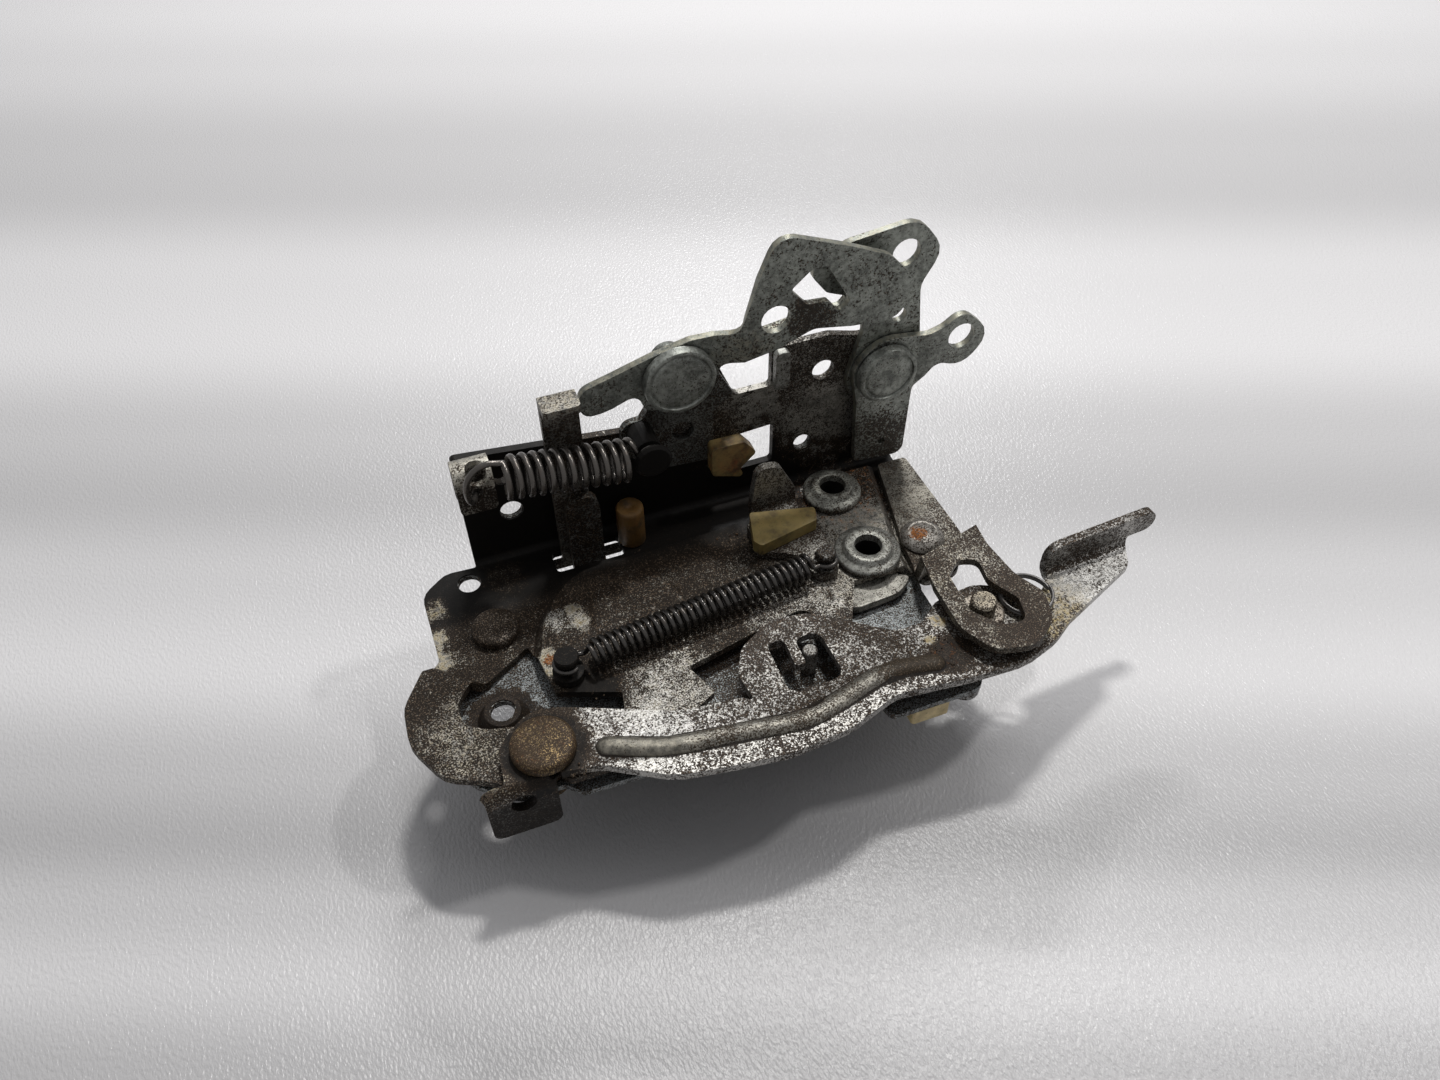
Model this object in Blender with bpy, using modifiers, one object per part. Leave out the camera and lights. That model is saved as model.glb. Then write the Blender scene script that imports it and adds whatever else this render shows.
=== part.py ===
"""Car door lock on a folded steel bracket.

The base plate lies level and the flange stands up along its far edge. Levers are riveted to both, and the
latch case with the fork bolt and the pawl hangs under the base plate. The lock stands on that case.
X runs along the fold to the right, Y from the near edge to the flange, Z up. The origin is the middle of
the underside of the case. Sizes are in millimetres here, and the meshes are made in metres.
"""
import math

import bmesh
import bpy
from mathutils import Matrix, Vector
from mathutils.geometry import delaunay_2d_cdt

MM = 0.001

# Clearances
GAP = 0.3
RUN = 0.3

# Bracket: base plate, fold and flange
SHEET = 1.8
FOLD_R = 2.0
FLANGE_Y = -1.5
BASE_LEFT = -12.2
BASE_RIGHT = 105.5
BASE_NEAR = -69.0
FLANGE_LEFT = 1.0
FLANGE_TOP = 41.2
PANEL_LIFT = 3.0
PANEL_FLANK = 2.0
ISLAND_R = 11.0
ISLAND_LIFT = 0.9
SCREW_HOLE_R = 2.7

# Lower plate and latch case
LOWER_SHEET = 1.5
BOSS_LIFT = 3.0
CASE_HEIGHT = 24.1
CASE_LENGTH = 88.0
CASE_WIDTH = 31.0
CASE_WALL = 2.0
CASE_END = 10.7
CASE_SIDE = 10.8
FORK_END = 24.0
FORK_SIDE = 10.0
MOUTH_FROM_FORK = 15.0
PAWL_TIP_FROM_FORK = 25.3
MOUTH_WIDTH = 14.0
MOUTH_DEPTH = 13.0

# Pivots and pins: places on the base plate (x, y) and on the flange (x, z)
LEFT_RIVET = (1.0, -22.5)
LEVER_PIVOT = (2.7, -58.4)
LINK_PIVOT = (98.6, -32.6)
FAR_COLLAR = (84.8, -12.8)
NEAR_COLLAR = (84.3, -33.2)
ARM_PIVOT = (68.5, -20.5)
HANDLE_PIVOT = (50.1, 43.5)
EYE_PIVOT = (99.3, 30.8)
LOWER_STUD = (12.3, -41.6)
BOSS = (-2.6, -43.6)
CAM_PIN = (60.7, -54.7)
BUFFER = (36.9, -6.8)

# Rivet and pin sizes
LEFT_HEAD_R = 5.2
LEFT_SEAT_R = 5.8
LEFT_SEAT_LIFT = 0.25
LEVER_HEAD_R = 6.5
LEVER_SHANK_R = 3.4
LINK_HEAD_R = 5.1
LINK_SHANK_R = 3.0
FLANGE_SHANK_R = 2.6
HANDLE_HEAD_R = 7.9
EYE_HEAD_R = 7.2
HEAD_T = 2.4
COLLAR_BORE_R = 3.0
COLLAR_SLEEVE_R = 3.7
FAR_COLLAR_R = 6.9
NEAR_COLLAR_R = 7.5
COLLAR_T = 3.1
SLOT_PIN_R = 2.8
SLOT_WASHER_R = 4.4
CAM_PIN_R = 1.6
STUD_R = 2.4
FORK_PIN_R = 4.0
ARM_SHANK_R = 2.0
ARM_HEAD_R = 2.9

# Levers
LEVER_T = 2.0
RIB_W = 2.5
RIB_H = 1.5
EAR_R = 2.5
TAB_R = 1.5
TAB_HEIGHT = 7.2
TAB_TURN = 4.0
FLANGE_LEVER_T = 1.7
HANDLE_STEP = 3.2
EYE_STEP = 0.6
LINK_T = 1.8
LINK_RISE = 7.5
FORK_T = 8.0
PAWL_T = 6.0
ARM_TAB_HEIGHT = 14.0

# Springs and plastic pieces
LOWER_SPRING_R = 3.1
LOWER_SPRING_TURNS = 33
UPPER_SPRING_R = 4.8
UPPER_SPRING_TURNS = 13
SPRING_WIRE = 1.1
UPPER_SPRING_Y = -12.2
UPPER_STUD = (41.4, 29.3)
ANCHOR_EYE = (4.3, 28.3)
WEDGE_T = 3.2
BUFFER_R = 3.2
BUFFER_H = 10.6
BUMPER_T = 5.0
POST_TOP = 46.0
POST_WIDTH = 8.0
POST_T = 1.9
POST_X = 24.3
POST_HEAD = 5.5

# Levels that follow from the sizes above
PANEL_TOP = PANEL_LIFT
LOWER_TOP = -SHEET - GAP
LOWER_BOTTOM = LOWER_TOP - LOWER_SHEET
CASE_TOP = LOWER_BOTTOM - GAP
CASE_BOTTOM = CASE_TOP - CASE_HEIGHT
CASE_FLOOR = CASE_BOTTOM + CASE_WALL
LEVER_TOP = PANEL_TOP + GAP + LEVER_T
LINK_TOP = GAP + LINK_T
FOLD_Y = FLANGE_Y - FOLD_R
REAR_Y = FLANGE_Y - GAP - FLANGE_LEVER_T
FRONT_Y = REAR_Y - GAP - FLANGE_LEVER_T
FORK_TOP = CASE_TOP - 8.0
LEFT_HOLE_R = 2.6

# The case lies round the near collar, and the fork keeps its place in the case's left near corner
CASE_RIGHT = NEAR_COLLAR[0] + CASE_END
CASE_LEFT = CASE_RIGHT - CASE_LENGTH
CASE_NEAR = NEAR_COLLAR[1] - CASE_SIDE
CASE_FAR = CASE_NEAR + CASE_WIDTH
CASE_MIDDLE = ((CASE_LEFT + CASE_RIGHT) / 2, (CASE_NEAR + CASE_FAR) / 2)
FORK_PIVOT = (CASE_LEFT + FORK_END, CASE_NEAR + FORK_SIDE)
MOUTH_X = FORK_PIVOT[0] + MOUTH_FROM_FORK
HOME = Vector((CASE_MIDDLE[0], CASE_MIDDLE[1], CASE_BOTTOM))

SHAPES = bpy.data.collections.new("Car_door_lock")
CUTTERS = bpy.data.collections.new("Cutters")
PAINTS = {
    "greasy_steel": ((0.085, 0.07, 0.058, 1), 0.55, 0.55),
    "zinc": ((0.36, 0.36, 0.35, 1), 0.45, 0.8),
    "worn_zinc": ((0.27, 0.25, 0.22, 1), 0.5, 0.7),
    "rust": ((0.22, 0.13, 0.07, 1), 0.7, 0.4),
    "spring_steel": ((0.05, 0.05, 0.05, 1), 0.35, 0.9),
    "case_metal": ((0.3, 0.3, 0.3, 1), 0.5, 0.7),
    "nylon": ((0.45, 0.33, 0.14, 1), 0.5, 0.0),
}


def clear_scene():
    """Removes what the file holds and links the two collections."""
    for thing in list(bpy.data.objects):
        bpy.data.objects.remove(thing, do_unlink=True)
    bpy.context.scene.collection.children.link(SHAPES)
    bpy.context.scene.collection.children.link(CUTTERS)


def paint(name, slot):
    """A Principled material for one piece."""
    colour, roughness, metallic = PAINTS[slot]
    mat = bpy.data.materials.new(name)
    mat.use_nodes = True
    shader = mat.node_tree.nodes["Principled BSDF"]
    shader.inputs["Base Color"].default_value = colour
    shader.inputs["Roughness"].default_value = roughness
    shader.inputs["Metallic"].default_value = metallic
    mat.diffuse_color = colour
    return mat


def finish(name, mesh, slot, place, smooth=True):
    """Links a mesh as a named piece whose origin stands at a place in the lock's frame."""
    obj = bpy.data.objects.new(name, mesh)
    obj.location = (Vector(place) - HOME) * MM
    mesh.materials.clear()
    mesh.materials.append(paint(name, slot))
    if smooth:
        mesh.shade_smooth()
        mesh.set_sharp_from_angle(angle=math.radians(35))
    SHAPES.objects.link(obj)
    return obj


def circle(x, y, r, count=24):
    return [(x + r * math.cos(math.tau * i / count), y + r * math.sin(math.tau * i / count))
            for i in range(count)]


def rounded(points, step=22.5):
    """Turns corners (x, y, fillet radius) into a polygon with arcs at the filleted corners."""
    out = []
    count = len(points)
    for i, corner in enumerate(points):
        here = Vector(corner[:2])
        radius = corner[2] if len(corner) > 2 else 0.0
        if radius <= 0:
            out.append(tuple(here))
            continue
        back = (Vector(points[i - 1][:2]) - here)
        ahead = (Vector(points[(i + 1) % count][:2]) - here)
        half = back.angle(ahead) / 2
        reach = min(radius / math.tan(half), 0.49 * back.length, 0.49 * ahead.length)
        radius = reach * math.tan(half)
        start = here + back.normalized() * reach
        end = here + ahead.normalized() * reach
        middle = here + (back.normalized() + ahead.normalized()).normalized() * radius / math.sin(half)
        first = math.atan2(start.y - middle.y, start.x - middle.x)
        turn = math.atan2(end.y - middle.y, end.x - middle.x) - first
        turn = (turn + math.pi) % math.tau - math.pi
        steps = max(1, math.ceil(abs(turn) / math.radians(step)))
        for k in range(steps + 1):
            a = first + turn * k / steps
            out.append((middle.x + radius * math.cos(a), middle.y + radius * math.sin(a)))
    return out


def shifted(points, dx, dy):
    return [(p[0] + dx, p[1] + dy, *p[2:]) for p in points]


def local(points, pivot):
    """Outline points of the lock's frame as seen from a pivot."""
    return shifted(points, -pivot[0], -pivot[1])


def inside(point, loop):
    """Even-odd test of a point against a closed loop."""
    x, y = point
    hit = False
    for (x1, y1), (x2, y2) in zip(loop, loop[1:] + loop[:1]):
        if (y1 > y) != (y2 > y) and x < (x2 - x1) * (y - y1) / (y2 - y1) + x1:
            hit = not hit
    return hit


def distance(point, line):
    """Distance of a point to an open polyline."""
    p = Vector(point)
    best = 1e9
    for a, b in zip(line, line[1:]):
        a, b = Vector(a), Vector(b)
        t = max(0.0, min(1.0, (p - a).dot(b - a) / (b - a).length_squared))
        best = min(best, (p - a.lerp(b, t)).length)
    return best


def inset(loop, depth):
    """A closed loop, counter-clockwise, moved inwards by a depth."""
    out = []
    for i, p in enumerate(loop):
        p, before, after = Vector(p), Vector(loop[i - 1]), Vector(loop[(i + 1) % len(loop)])
        n1 = Vector((before.y - p.y, p.x - before.x)).normalized()
        n2 = Vector((p.y - after.y, after.x - p.x)).normalized()
        both = (n1 + n2).normalized()
        out.append(tuple(p + both * depth / max(0.5, both.dot(n1))))
    return out


def capsule(line, r, ends=6):
    """The closed outline that runs round a polyline at a distance r."""
    pts = [Vector(p) for p in line]
    sides = []
    for path in (pts, pts[::-1]):
        for i, p in enumerate(path):
            ways = []
            if i > 0:
                ways.append((p - path[i - 1]).normalized())
            if i < len(path) - 1:
                ways.append((path[i + 1] - p).normalized())
            way = sum(ways, Vector((0, 0))).normalized()
            right = Vector((way.y, -way.x))
            sides.append(tuple(p + right * r / max(0.5, right.dot(Vector((ways[0].y, -ways[0].x))))))
        end, right = path[-1], math.atan2(-ways[0].x, ways[0].y)
        for k in range(1, ends):
            a = right + math.pi * k / ends
            sides.append((end.x + r * math.cos(a), end.y + r * math.sin(a)))
    return sides


def sheet(name, slot, thickness, outline, holes, creases, form, place):
    """A pressed sheet: its flat blank is cut along its creases, formed, and thickened on its back."""
    points, edges = [], []
    loops = [outline] + holes
    for loop in loops:
        first = len(points)
        points += [Vector(p[:2]) for p in loop]
        edges += [(first + i, first + (i + 1) % len(loop)) for i in range(len(loop))]
    for crease, closed in creases:
        first = len(points)
        points += [Vector(p[:2]) for p in crease]
        edges += [(first + i, first + i + 1) for i in range(len(crease) - 1)]
        if closed:
            edges.append((first + len(crease) - 1, first))
    verts, _, faces, _, _, _ = delaunay_2d_cdt(points, edges, [], 0, 1e-5)
    bm = bmesh.new()
    made = {}
    for face in faces:
        middle = sum((verts[i] for i in face), Vector((0, 0))) / len(face)
        if sum(inside(middle, loop) for loop in loops) != 1:
            continue
        for i in face:
            if i not in made:
                made[i] = bm.verts.new(Vector(form(*verts[i])) * MM)
        bm.faces.new([made[i] for i in face])
    bmesh.ops.dissolve_limit(bm, angle_limit=0.002, verts=bm.verts, edges=bm.edges)
    bmesh.ops.triangulate(bm, faces=bm.faces)
    mesh = bpy.data.meshes.new(name)
    bm.to_mesh(mesh)
    bm.free()
    obj = finish(name, mesh, slot, place, smooth=False)
    wall = obj.modifiers.new("Wall", "SOLIDIFY")
    wall.thickness = thickness * MM
    wall.offset = -1.0
    wall.use_even_offset = True
    wall.use_quality_normals = True
    return obj


def plate(name, slot, outline, holes, low, high, place=(0, 0, 0), upright=False):
    """A flat piece cut from plate between two levels; an upright one has its outline in X and Z."""
    curve = bpy.data.curves.new(name, "CURVE")
    curve.dimensions = "2D"
    curve.fill_mode = "BOTH"
    curve.extrude = (high - low) / 2 * MM
    for loop in [outline] + holes:
        spline = curve.splines.new("POLY")
        spline.points.add(len(loop) - 1)
        for point, (x, y) in zip(spline.points, loop):
            point.co = (x * MM, y * MM, 0, 1)
        spline.use_cyclic_u = True
    draft = bpy.data.objects.new("draft", curve)
    SHAPES.objects.link(draft)
    bpy.context.view_layer.update()
    mesh = bpy.data.meshes.new_from_object(draft.evaluated_get(bpy.context.evaluated_depsgraph_get()))
    bpy.data.objects.remove(draft)
    bm = bmesh.new()
    bm.from_mesh(mesh)
    bmesh.ops.remove_doubles(bm, verts=bm.verts, dist=1e-6)
    bm.transform(Matrix.Translation((0, 0, (high + low) / 2 * MM)))
    if upright:
        bm.transform(Matrix.Rotation(math.radians(90), 4, "X"))
    bmesh.ops.recalc_face_normals(bm, faces=bm.faces)
    bm.to_mesh(mesh)
    bm.free()
    return finish(name, mesh, slot, place)


def turned(name, slot, profile, place, facing="Z", steps=28):
    """A turned piece from its profile (radius, height), listed from top to bottom along its outside."""
    mesh = bpy.data.meshes.new(name)
    ring = profile[0][0] > 0
    count = len(profile)
    edges = [(i, (i + 1) % count) for i in range(count if ring else count - 1)]
    mesh.from_pydata([(r * MM, 0, h * MM) for r, h in profile], edges, [])
    obj = finish(name, mesh, slot, place, smooth=False)
    spin = obj.modifiers.new("Turn", "SCREW")
    spin.steps = steps
    spin.render_steps = steps
    spin.use_merge_vertices = True
    spin.merge_threshold = 0.00001
    spin.use_smooth_shade = True
    if facing == "-Y":
        obj.rotation_euler = (math.radians(90), 0, 0)
    return obj


def rivet(name, slot, head_r, shank_r, levels, place, facing="Z", dome=0.5, tail_r=None):
    """A rivet: levels are the head's top and underside, then the tail's upper side and end."""
    top, under, tail, end = levels
    tail_r = tail_r or 0.75 * head_r
    profile = [(0, top), (head_r - dome, top), (head_r, top - dome), (head_r, under), (shank_r, under),
               (shank_r, tail), (tail_r, tail), (tail_r, end + 0.3), (tail_r - 0.3, end), (0, end)]
    return turned(name, slot, profile, place, facing)


def wire(name, slot, points, thickness, place=(0, 0, 0), sides=1):
    """A bent wire along its points, with closed ends."""
    curve = bpy.data.curves.new(name, "CURVE")
    curve.dimensions = "3D"
    curve.bevel_depth = thickness / 2 * MM
    curve.bevel_resolution = sides
    curve.use_fill_caps = True
    spline = curve.splines.new("POLY")
    spline.points.add(len(points) - 1)
    for point, co in zip(spline.points, points):
        point.co = (*(Vector(co) * MM), 1)
    obj = bpy.data.objects.new(name, curve)
    obj.location = (Vector(place) - HOME) * MM
    curve.materials.append(paint(name, slot))
    SHAPES.objects.link(obj)
    return obj


def coil(start, end, radius, turns, count, lead=1.0):
    """Points of a helix between two places, its ends led in to the axis."""
    axis = Vector(end) - Vector(start)
    way = axis.normalized()
    side = way.cross(Vector((0, 0, 1)))
    if side.length < 0.1:
        side = Vector((1, 0, 0))
    side.normalize()
    up = side.cross(way)
    out = []
    total = turns * count
    for i in range(total + 1):
        a = math.tau * i / count
        out.append(Vector(start) + axis * (lead + (1 - 2 * lead) * i / total)
                   + radius * (math.cos(a) * up + math.sin(a) * side))
    return out


def boolean(obj, cutter, operation="DIFFERENCE"):
    """Cuts or joins a piece with a guide object, which moves to the cutters."""
    for home in list(cutter.users_collection):
        home.objects.unlink(cutter)
    CUTTERS.objects.link(cutter)
    cutter.hide_render = True
    cutter.display_type = "WIRE"
    mod = obj.modifiers.new(cutter.name, "BOOLEAN")
    mod.operation = operation
    mod.object = cutter


# Bracket

FOLD_L = FOLD_R * math.pi / 2


def up(z):
    """Place in the flat blank of a height on the flange."""
    return FOLD_Y + FOLD_L + z - FOLD_R


RAISED = [(-40, -27.5), (-13, -27.5), (-3.5, -36), (6.5, -33), (9, -25.5), (13, -19.5), (17.6, -15),
          (22.5, -12.8), (28, -12.2), (40, -12.6), (72, -11), (77, -5), (99.5, -5), (93.1, -33), (92.4, -41), (92.4, -90),
          (-40, -90)][::-1]
ISLAND = (31.0, -30.0)


def bracket_form(x, v):
    """Lifts the drawn panels and turns the flange up."""
    s = v - FOLD_Y
    if s <= 1e-6:
        depth = distance((x, v), RAISED + RAISED[:1])
        lift = PANEL_LIFT * min(1.0, depth / PANEL_FLANK) if inside((x, v), RAISED) else 0.0
        out = math.dist((x, v), ISLAND)
        lift += ISLAND_LIFT * max(0.0, min(1.0, ISLAND_R - out))
        out = math.dist((x, v), LEFT_RIVET)
        lift += LEFT_SEAT_LIFT * max(0.0, min(1.0, (LEFT_SEAT_R - out) / 0.4))
        return x, v, lift
    if s < FOLD_L:
        a = s / FOLD_R
        return x, FOLD_Y + FOLD_R * math.sin(a), FOLD_R * (1 - math.cos(a))
    return x, FLANGE_Y, FOLD_R + s - FOLD_L


def make_bracket():
    left, right = FLANGE_LEFT, BASE_RIGHT
    hx, hz = HANDLE_PIVOT
    outline = rounded([
        (left, up(32.5), 1), (left, FOLD_Y + 1, 0.5), (-6.5, -2.2, 5), (BASE_LEFT, -6.5, 5),
        (BASE_LEFT, -26, 2), (-16, -29.5, 5), (-21.3, -37.5, 7), (-21.8, -47, 9), (-17, -56.5, 7),
        (-9, -60.2, 3), (-5, -63.0, 2), (4.2, -63.0, 0.5), (6, -65.5, 1.5), (14, -65.5, 3), (22, BASE_NEAR, 4), (73, BASE_NEAR, 3),
        (72.5, -50.5, 1), (78.3, -39.3, 0.5), (93.2, -39.3, 1), (94, -43, 2), (right - 2, -43, 4),
        (right, -36, 3), (right, up(FLANGE_TOP - 3), 8), (94, up(FLANGE_TOP - 2), 3),
        (87, up(FLANGE_TOP), 2), (73.2, up(FLANGE_TOP), 1), (73.2, up(31), 1), (64.5, up(31), 1.5),
        (hx + 9.2, up(hz), 2), (hx + 8.6, up(hz + 3.8), 5.5), (hx - 6.2, up(hz + 3.8), 5),
        (hx - 5.6, up(hz - 10), 4), (41, up(28), 4)])
    window = rounded([
        (6.3, -28.8, 0.5), (-3.4, -34.8, 1), (-7.5, -36.2, 2), (-11, -40.5, 3), (-10.6, -46, 3),
        (-6, -48.6, 2), (LEVER_PIVOT[0] + 1, -50.8, 1), (20.4, -54.3, 1), (21.3, -49.4, 0.6),
        (8.6, -44.6, 0.6), (7.2, -33, 0.6)])
    cutout = rounded([(36, -48.3, 1), (39.1, -56.1, 0.6), (31, -60.3, 0.8), (31.5, -64.5, 1),
                      (66, -64.5, 3), (66, -42, 3)])
    slot = rounded([(18, -10.6, 1), (34, -10.6, 1), (34, -4.3, 1), (18, -4.3, 1)])
    small = rounded([(60, up(8), 1), (74, up(8), 1), (74, up(19.5), 1), (60, up(18.5), 1)])
    holes = [window, cutout, slot, small,
             circle(-1.5, -6.5, SCREW_HOLE_R, 20),
             circle(*LEFT_RIVET, LEFT_HOLE_R + GAP, 16),
             circle(*LEVER_PIVOT, LEVER_SHANK_R + GAP),
             circle(*LINK_PIVOT, LINK_SHANK_R + GAP, 20),
             circle(*ARM_PIVOT, ARM_SHANK_R + GAP, 20),
             circle(*FAR_COLLAR, COLLAR_SLEEVE_R + GAP),
             circle(*NEAR_COLLAR, COLLAR_SLEEVE_R + GAP),
             circle(HANDLE_PIVOT[0], up(HANDLE_PIVOT[1]), FLANGE_SHANK_R + GAP),
             circle(EYE_PIVOT[0], up(EYE_PIVOT[1]), FLANGE_SHANK_R + GAP),
             circle(11.5, up(13.9), SCREW_HOLE_R, 20),
             circle(5.8, up(27), 2.6, 20),
             circle(85.9, up(31.7), SCREW_HOLE_R, 20),
             circle(81.7, up(11.2), SCREW_HOLE_R - 0.4, 20)]
    creases = [(RAISED, True), (inset(RAISED, PANEL_FLANK), True),
               (circle(*ISLAND, ISLAND_R, 28), True), (circle(*ISLAND, ISLAND_R - 1, 28), True),
               (circle(*LEFT_RIVET, LEFT_SEAT_R, 24), True), (circle(*LEFT_RIVET, LEFT_SEAT_R - 0.4, 24), True)]
    for k in range(5):
        v = FOLD_Y + FOLD_L * k / 4
        creases.append(([(-60, v), (160, v)], False))
    sheet("bracket", "greasy_steel", SHEET, outline, holes, creases, bracket_form, (0, 0, 0))


def make_lower_plate():
    bx, by = BOSS

    def form(x, y):
        out = math.dist((x, y), BOSS)
        return x, y, BOSS_LIFT * max(0.0, min(1.0, (5.4 - out) / 1.6))

    outline = rounded([
        (-10.5, -27.5, 3), (9, -27.5, 3), (12, -18, 3), (60, -17.3, 3), (93.5, -17.3, 3),
        (93.5, -62, 2), (94.5, -71.8, 3), (72, -71.8, 2), (71, -66.5, 2), (30, -66.5, 3),
        (8, -66, 2), (5, -63.0, 1.5), (-4, -63.0, 5), (-13, -56, 6), (-13.8, -46, 5), (-13, -34, 4)])
    holes = [circle(bx, by, SCREW_HOLE_R, 20),
             circle(*LEVER_PIVOT, LEVER_SHANK_R + GAP, 20),
             circle(*NEAR_COLLAR, COLLAR_SLEEVE_R + 2.3, 28)]
    creases = [(circle(bx, by, 5.4, 28), True), (circle(bx, by, 3.8, 28), True)]
    sheet("lower_plate", "zinc", LOWER_SHEET, outline, holes, creases, form, (0, 0, LOWER_TOP))


def make_case():
    outer, inner = (
        rounded([(CASE_LEFT + wall, CASE_NEAR + wall, r), (CASE_RIGHT - wall, CASE_NEAR + wall, r),
                 (CASE_RIGHT - wall, CASE_FAR - wall, r), (CASE_LEFT + wall, CASE_FAR - wall, r)])
        for wall, r in ((0, 4), (CASE_WALL, 2.5)))
    case = plate("latch_case", "case_metal", outer, [], CASE_BOTTOM, CASE_TOP)
    pocket = plate("case_pocket", "case_metal", inner, [], CASE_FLOOR, CASE_TOP + 5)
    mouth = rounded([(MOUTH_X - MOUTH_WIDTH / 2, CASE_NEAR - 5), (MOUTH_X + MOUTH_WIDTH / 2, CASE_NEAR - 5),
                     (MOUTH_X + MOUTH_WIDTH / 2, CASE_NEAR + MOUTH_DEPTH, 3),
                     (MOUTH_X - MOUTH_WIDTH / 2, CASE_NEAR + MOUTH_DEPTH, 3)])
    opening = plate("case_mouth", "case_metal", mouth, [], CASE_BOTTOM - 5, CASE_TOP + 5)
    boolean(case, pocket)
    boolean(case, opening)


def make_rivets():
    rivet("left_rivet", "rust", LEFT_HEAD_R, LEFT_HOLE_R,
          (GAP + HEAD_T - 0.3, GAP, -SHEET - GAP, -SHEET - GAP - 1.6), (*LEFT_RIVET, LEFT_SEAT_LIFT),
          tail_r=3.6)
    rivet("lever_rivet", "rust", LEVER_HEAD_R, LEVER_SHANK_R,
          (LEVER_TOP + GAP + HEAD_T, LEVER_TOP + GAP, LOWER_BOTTOM - GAP, LOWER_BOTTOM - GAP - 2),
          (*LEVER_PIVOT, 0), dome=0.7, tail_r=LEVER_SHANK_R + 1)
    rivet("link_rivet", "rust", LINK_HEAD_R, LINK_SHANK_R,
          (LINK_TOP + GAP + HEAD_T, LINK_TOP + GAP, -SHEET - GAP, -SHEET - GAP - 1.8),
          (*LINK_PIVOT, 0), dome=1.6)
    for name, (x, z), head_r in (("handle_rivet", HANDLE_PIVOT, HANDLE_HEAD_R),
                                 ("eye_rivet", EYE_PIVOT, EYE_HEAD_R)):
        front = FLANGE_Y - FRONT_Y + GAP
        rivet(name, "worn_zinc", head_r, FLANGE_SHANK_R,
              (front + HEAD_T, front, -SHEET - GAP, -SHEET - GAP - 1.8), (x, FLANGE_Y, z), facing="-Y",
              dome=0.6, tail_r=FLANGE_SHANK_R + 1)


def collar(name, place, radius, foot):
    """A flanged hollow collar: a cone on top, and a sleeve that reaches down to its foot."""
    base = PANEL_TOP + GAP
    profile = [(COLLAR_BORE_R, base + COLLAR_T), (radius - 2.4, base + COLLAR_T),
               (radius - 0.2, base + 1.1), (radius, base + 0.8), (radius, base), (COLLAR_SLEEVE_R, base),
               (COLLAR_SLEEVE_R, foot), (COLLAR_BORE_R, foot)]
    turned(name, "worn_zinc", profile, (*place, 0))


def make_latch():
    """Fork bolt and pawl on their pins in the case, with their springs."""
    low = FORK_TOP - FORK_T
    fork = rounded([(-8, 2, 6), (-6, 8.5, 5), (6, 9.5, 6), (20, 9, 6), (23, 2, 2), (22.2, -7.2, 1.4),
                    (19.8, -7.2, 1), (19.2, 1.5, 4), (10.8, 1.5, 4), (10, -7.2, 1), (7, -7.2, 1),
                    (5.5, -7.4, 3), (-4, -7.6, 5), (-7.6, -2, 5)])
    plate("fork_bolt", "zinc", fork, [circle(0, 0, FORK_PIN_R + RUN)], 0, FORK_T,
          (*FORK_PIVOT, low))
    pin = [(0, CASE_TOP - 0.3), (FORK_PIN_R, CASE_TOP - 0.3), (FORK_PIN_R, low - GAP),
           (FORK_PIN_R + 3, low - GAP), (FORK_PIN_R + 3, low - GAP - 1.5), (FORK_PIN_R, low - GAP - 1.5),
           (FORK_PIN_R, CASE_FLOOR + GAP), (0, CASE_FLOOR + GAP)]
    turned("fork_pin", "zinc", pin, (*FORK_PIVOT, 0))
    coils = coil((0, 0, 0.8), (0, 0, 6.2), FORK_PIN_R + 1.6, 4, 12, 0.0)
    wire("fork_spring", "spring_steel", coils + [coils[-1] + Vector((8, 0, 0.2))], 1.2,
         (*FORK_PIVOT, FORK_TOP))
    low = FORK_TOP - 1 - PAWL_T
    tip = FORK_PIVOT[0] + PAWL_TIP_FROM_FORK - NEAR_COLLAR[0]
    pawl = rounded([(7.4, 4, 5), (7, -6, 5), (-6, -6.5, 5), (tip / 2, 0.5, 4), (tip + 0.4, 4, 1.5), (tip, 9, 1.5),
                    (tip + 4, 9.5, 2), (tip / 2 + 2, 7.5, 4), (0, 7.5, 6)])
    hub_r = COLLAR_SLEEVE_R + RUN
    plate("pawl", "zinc", pawl, [circle(0, 0, hub_r)], 0, PAWL_T, (*NEAR_COLLAR, low))
    top = low + PAWL_T + GAP
    lever_low = PANEL_TOP - SHEET - GAP - 2.0
    turned("pawl_hub", "zinc", [(hub_r, lever_low - GAP), (hub_r + 1.5, lever_low - GAP), (hub_r + 1.5, top),
                                (hub_r, top)], (*NEAR_COLLAR, 0))
    ring = low - GAP
    turned("pawl_ring", "spring_steel", [(hub_r, ring), (hub_r + 2, ring), (hub_r + 2, ring - 1.2),
                                         (hub_r, ring - 1.2)], (*NEAR_COLLAR, 0))
    lobe = rounded([(4.9, 1, 4), (4.9, -6.2, 1), (7.6, -7.6, 2), (3, -11.2, 5), (-8, -12, 4), (-12.5, -8, 3),
                    (-7, 5, 5), (3, 6.4, 4)])
    plate("pawl_lever", "zinc", lobe, [circle(0, 0, hub_r)], 0, 2.0, (*NEAR_COLLAR, lever_low))
    coils = coil((0, 0, 1.0), (0, 0, 4.6), hub_r + 2.6, 3, 12, 0.0)
    wire("pawl_spring", "spring_steel", coils, 1.1, (*NEAR_COLLAR, top))


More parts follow.
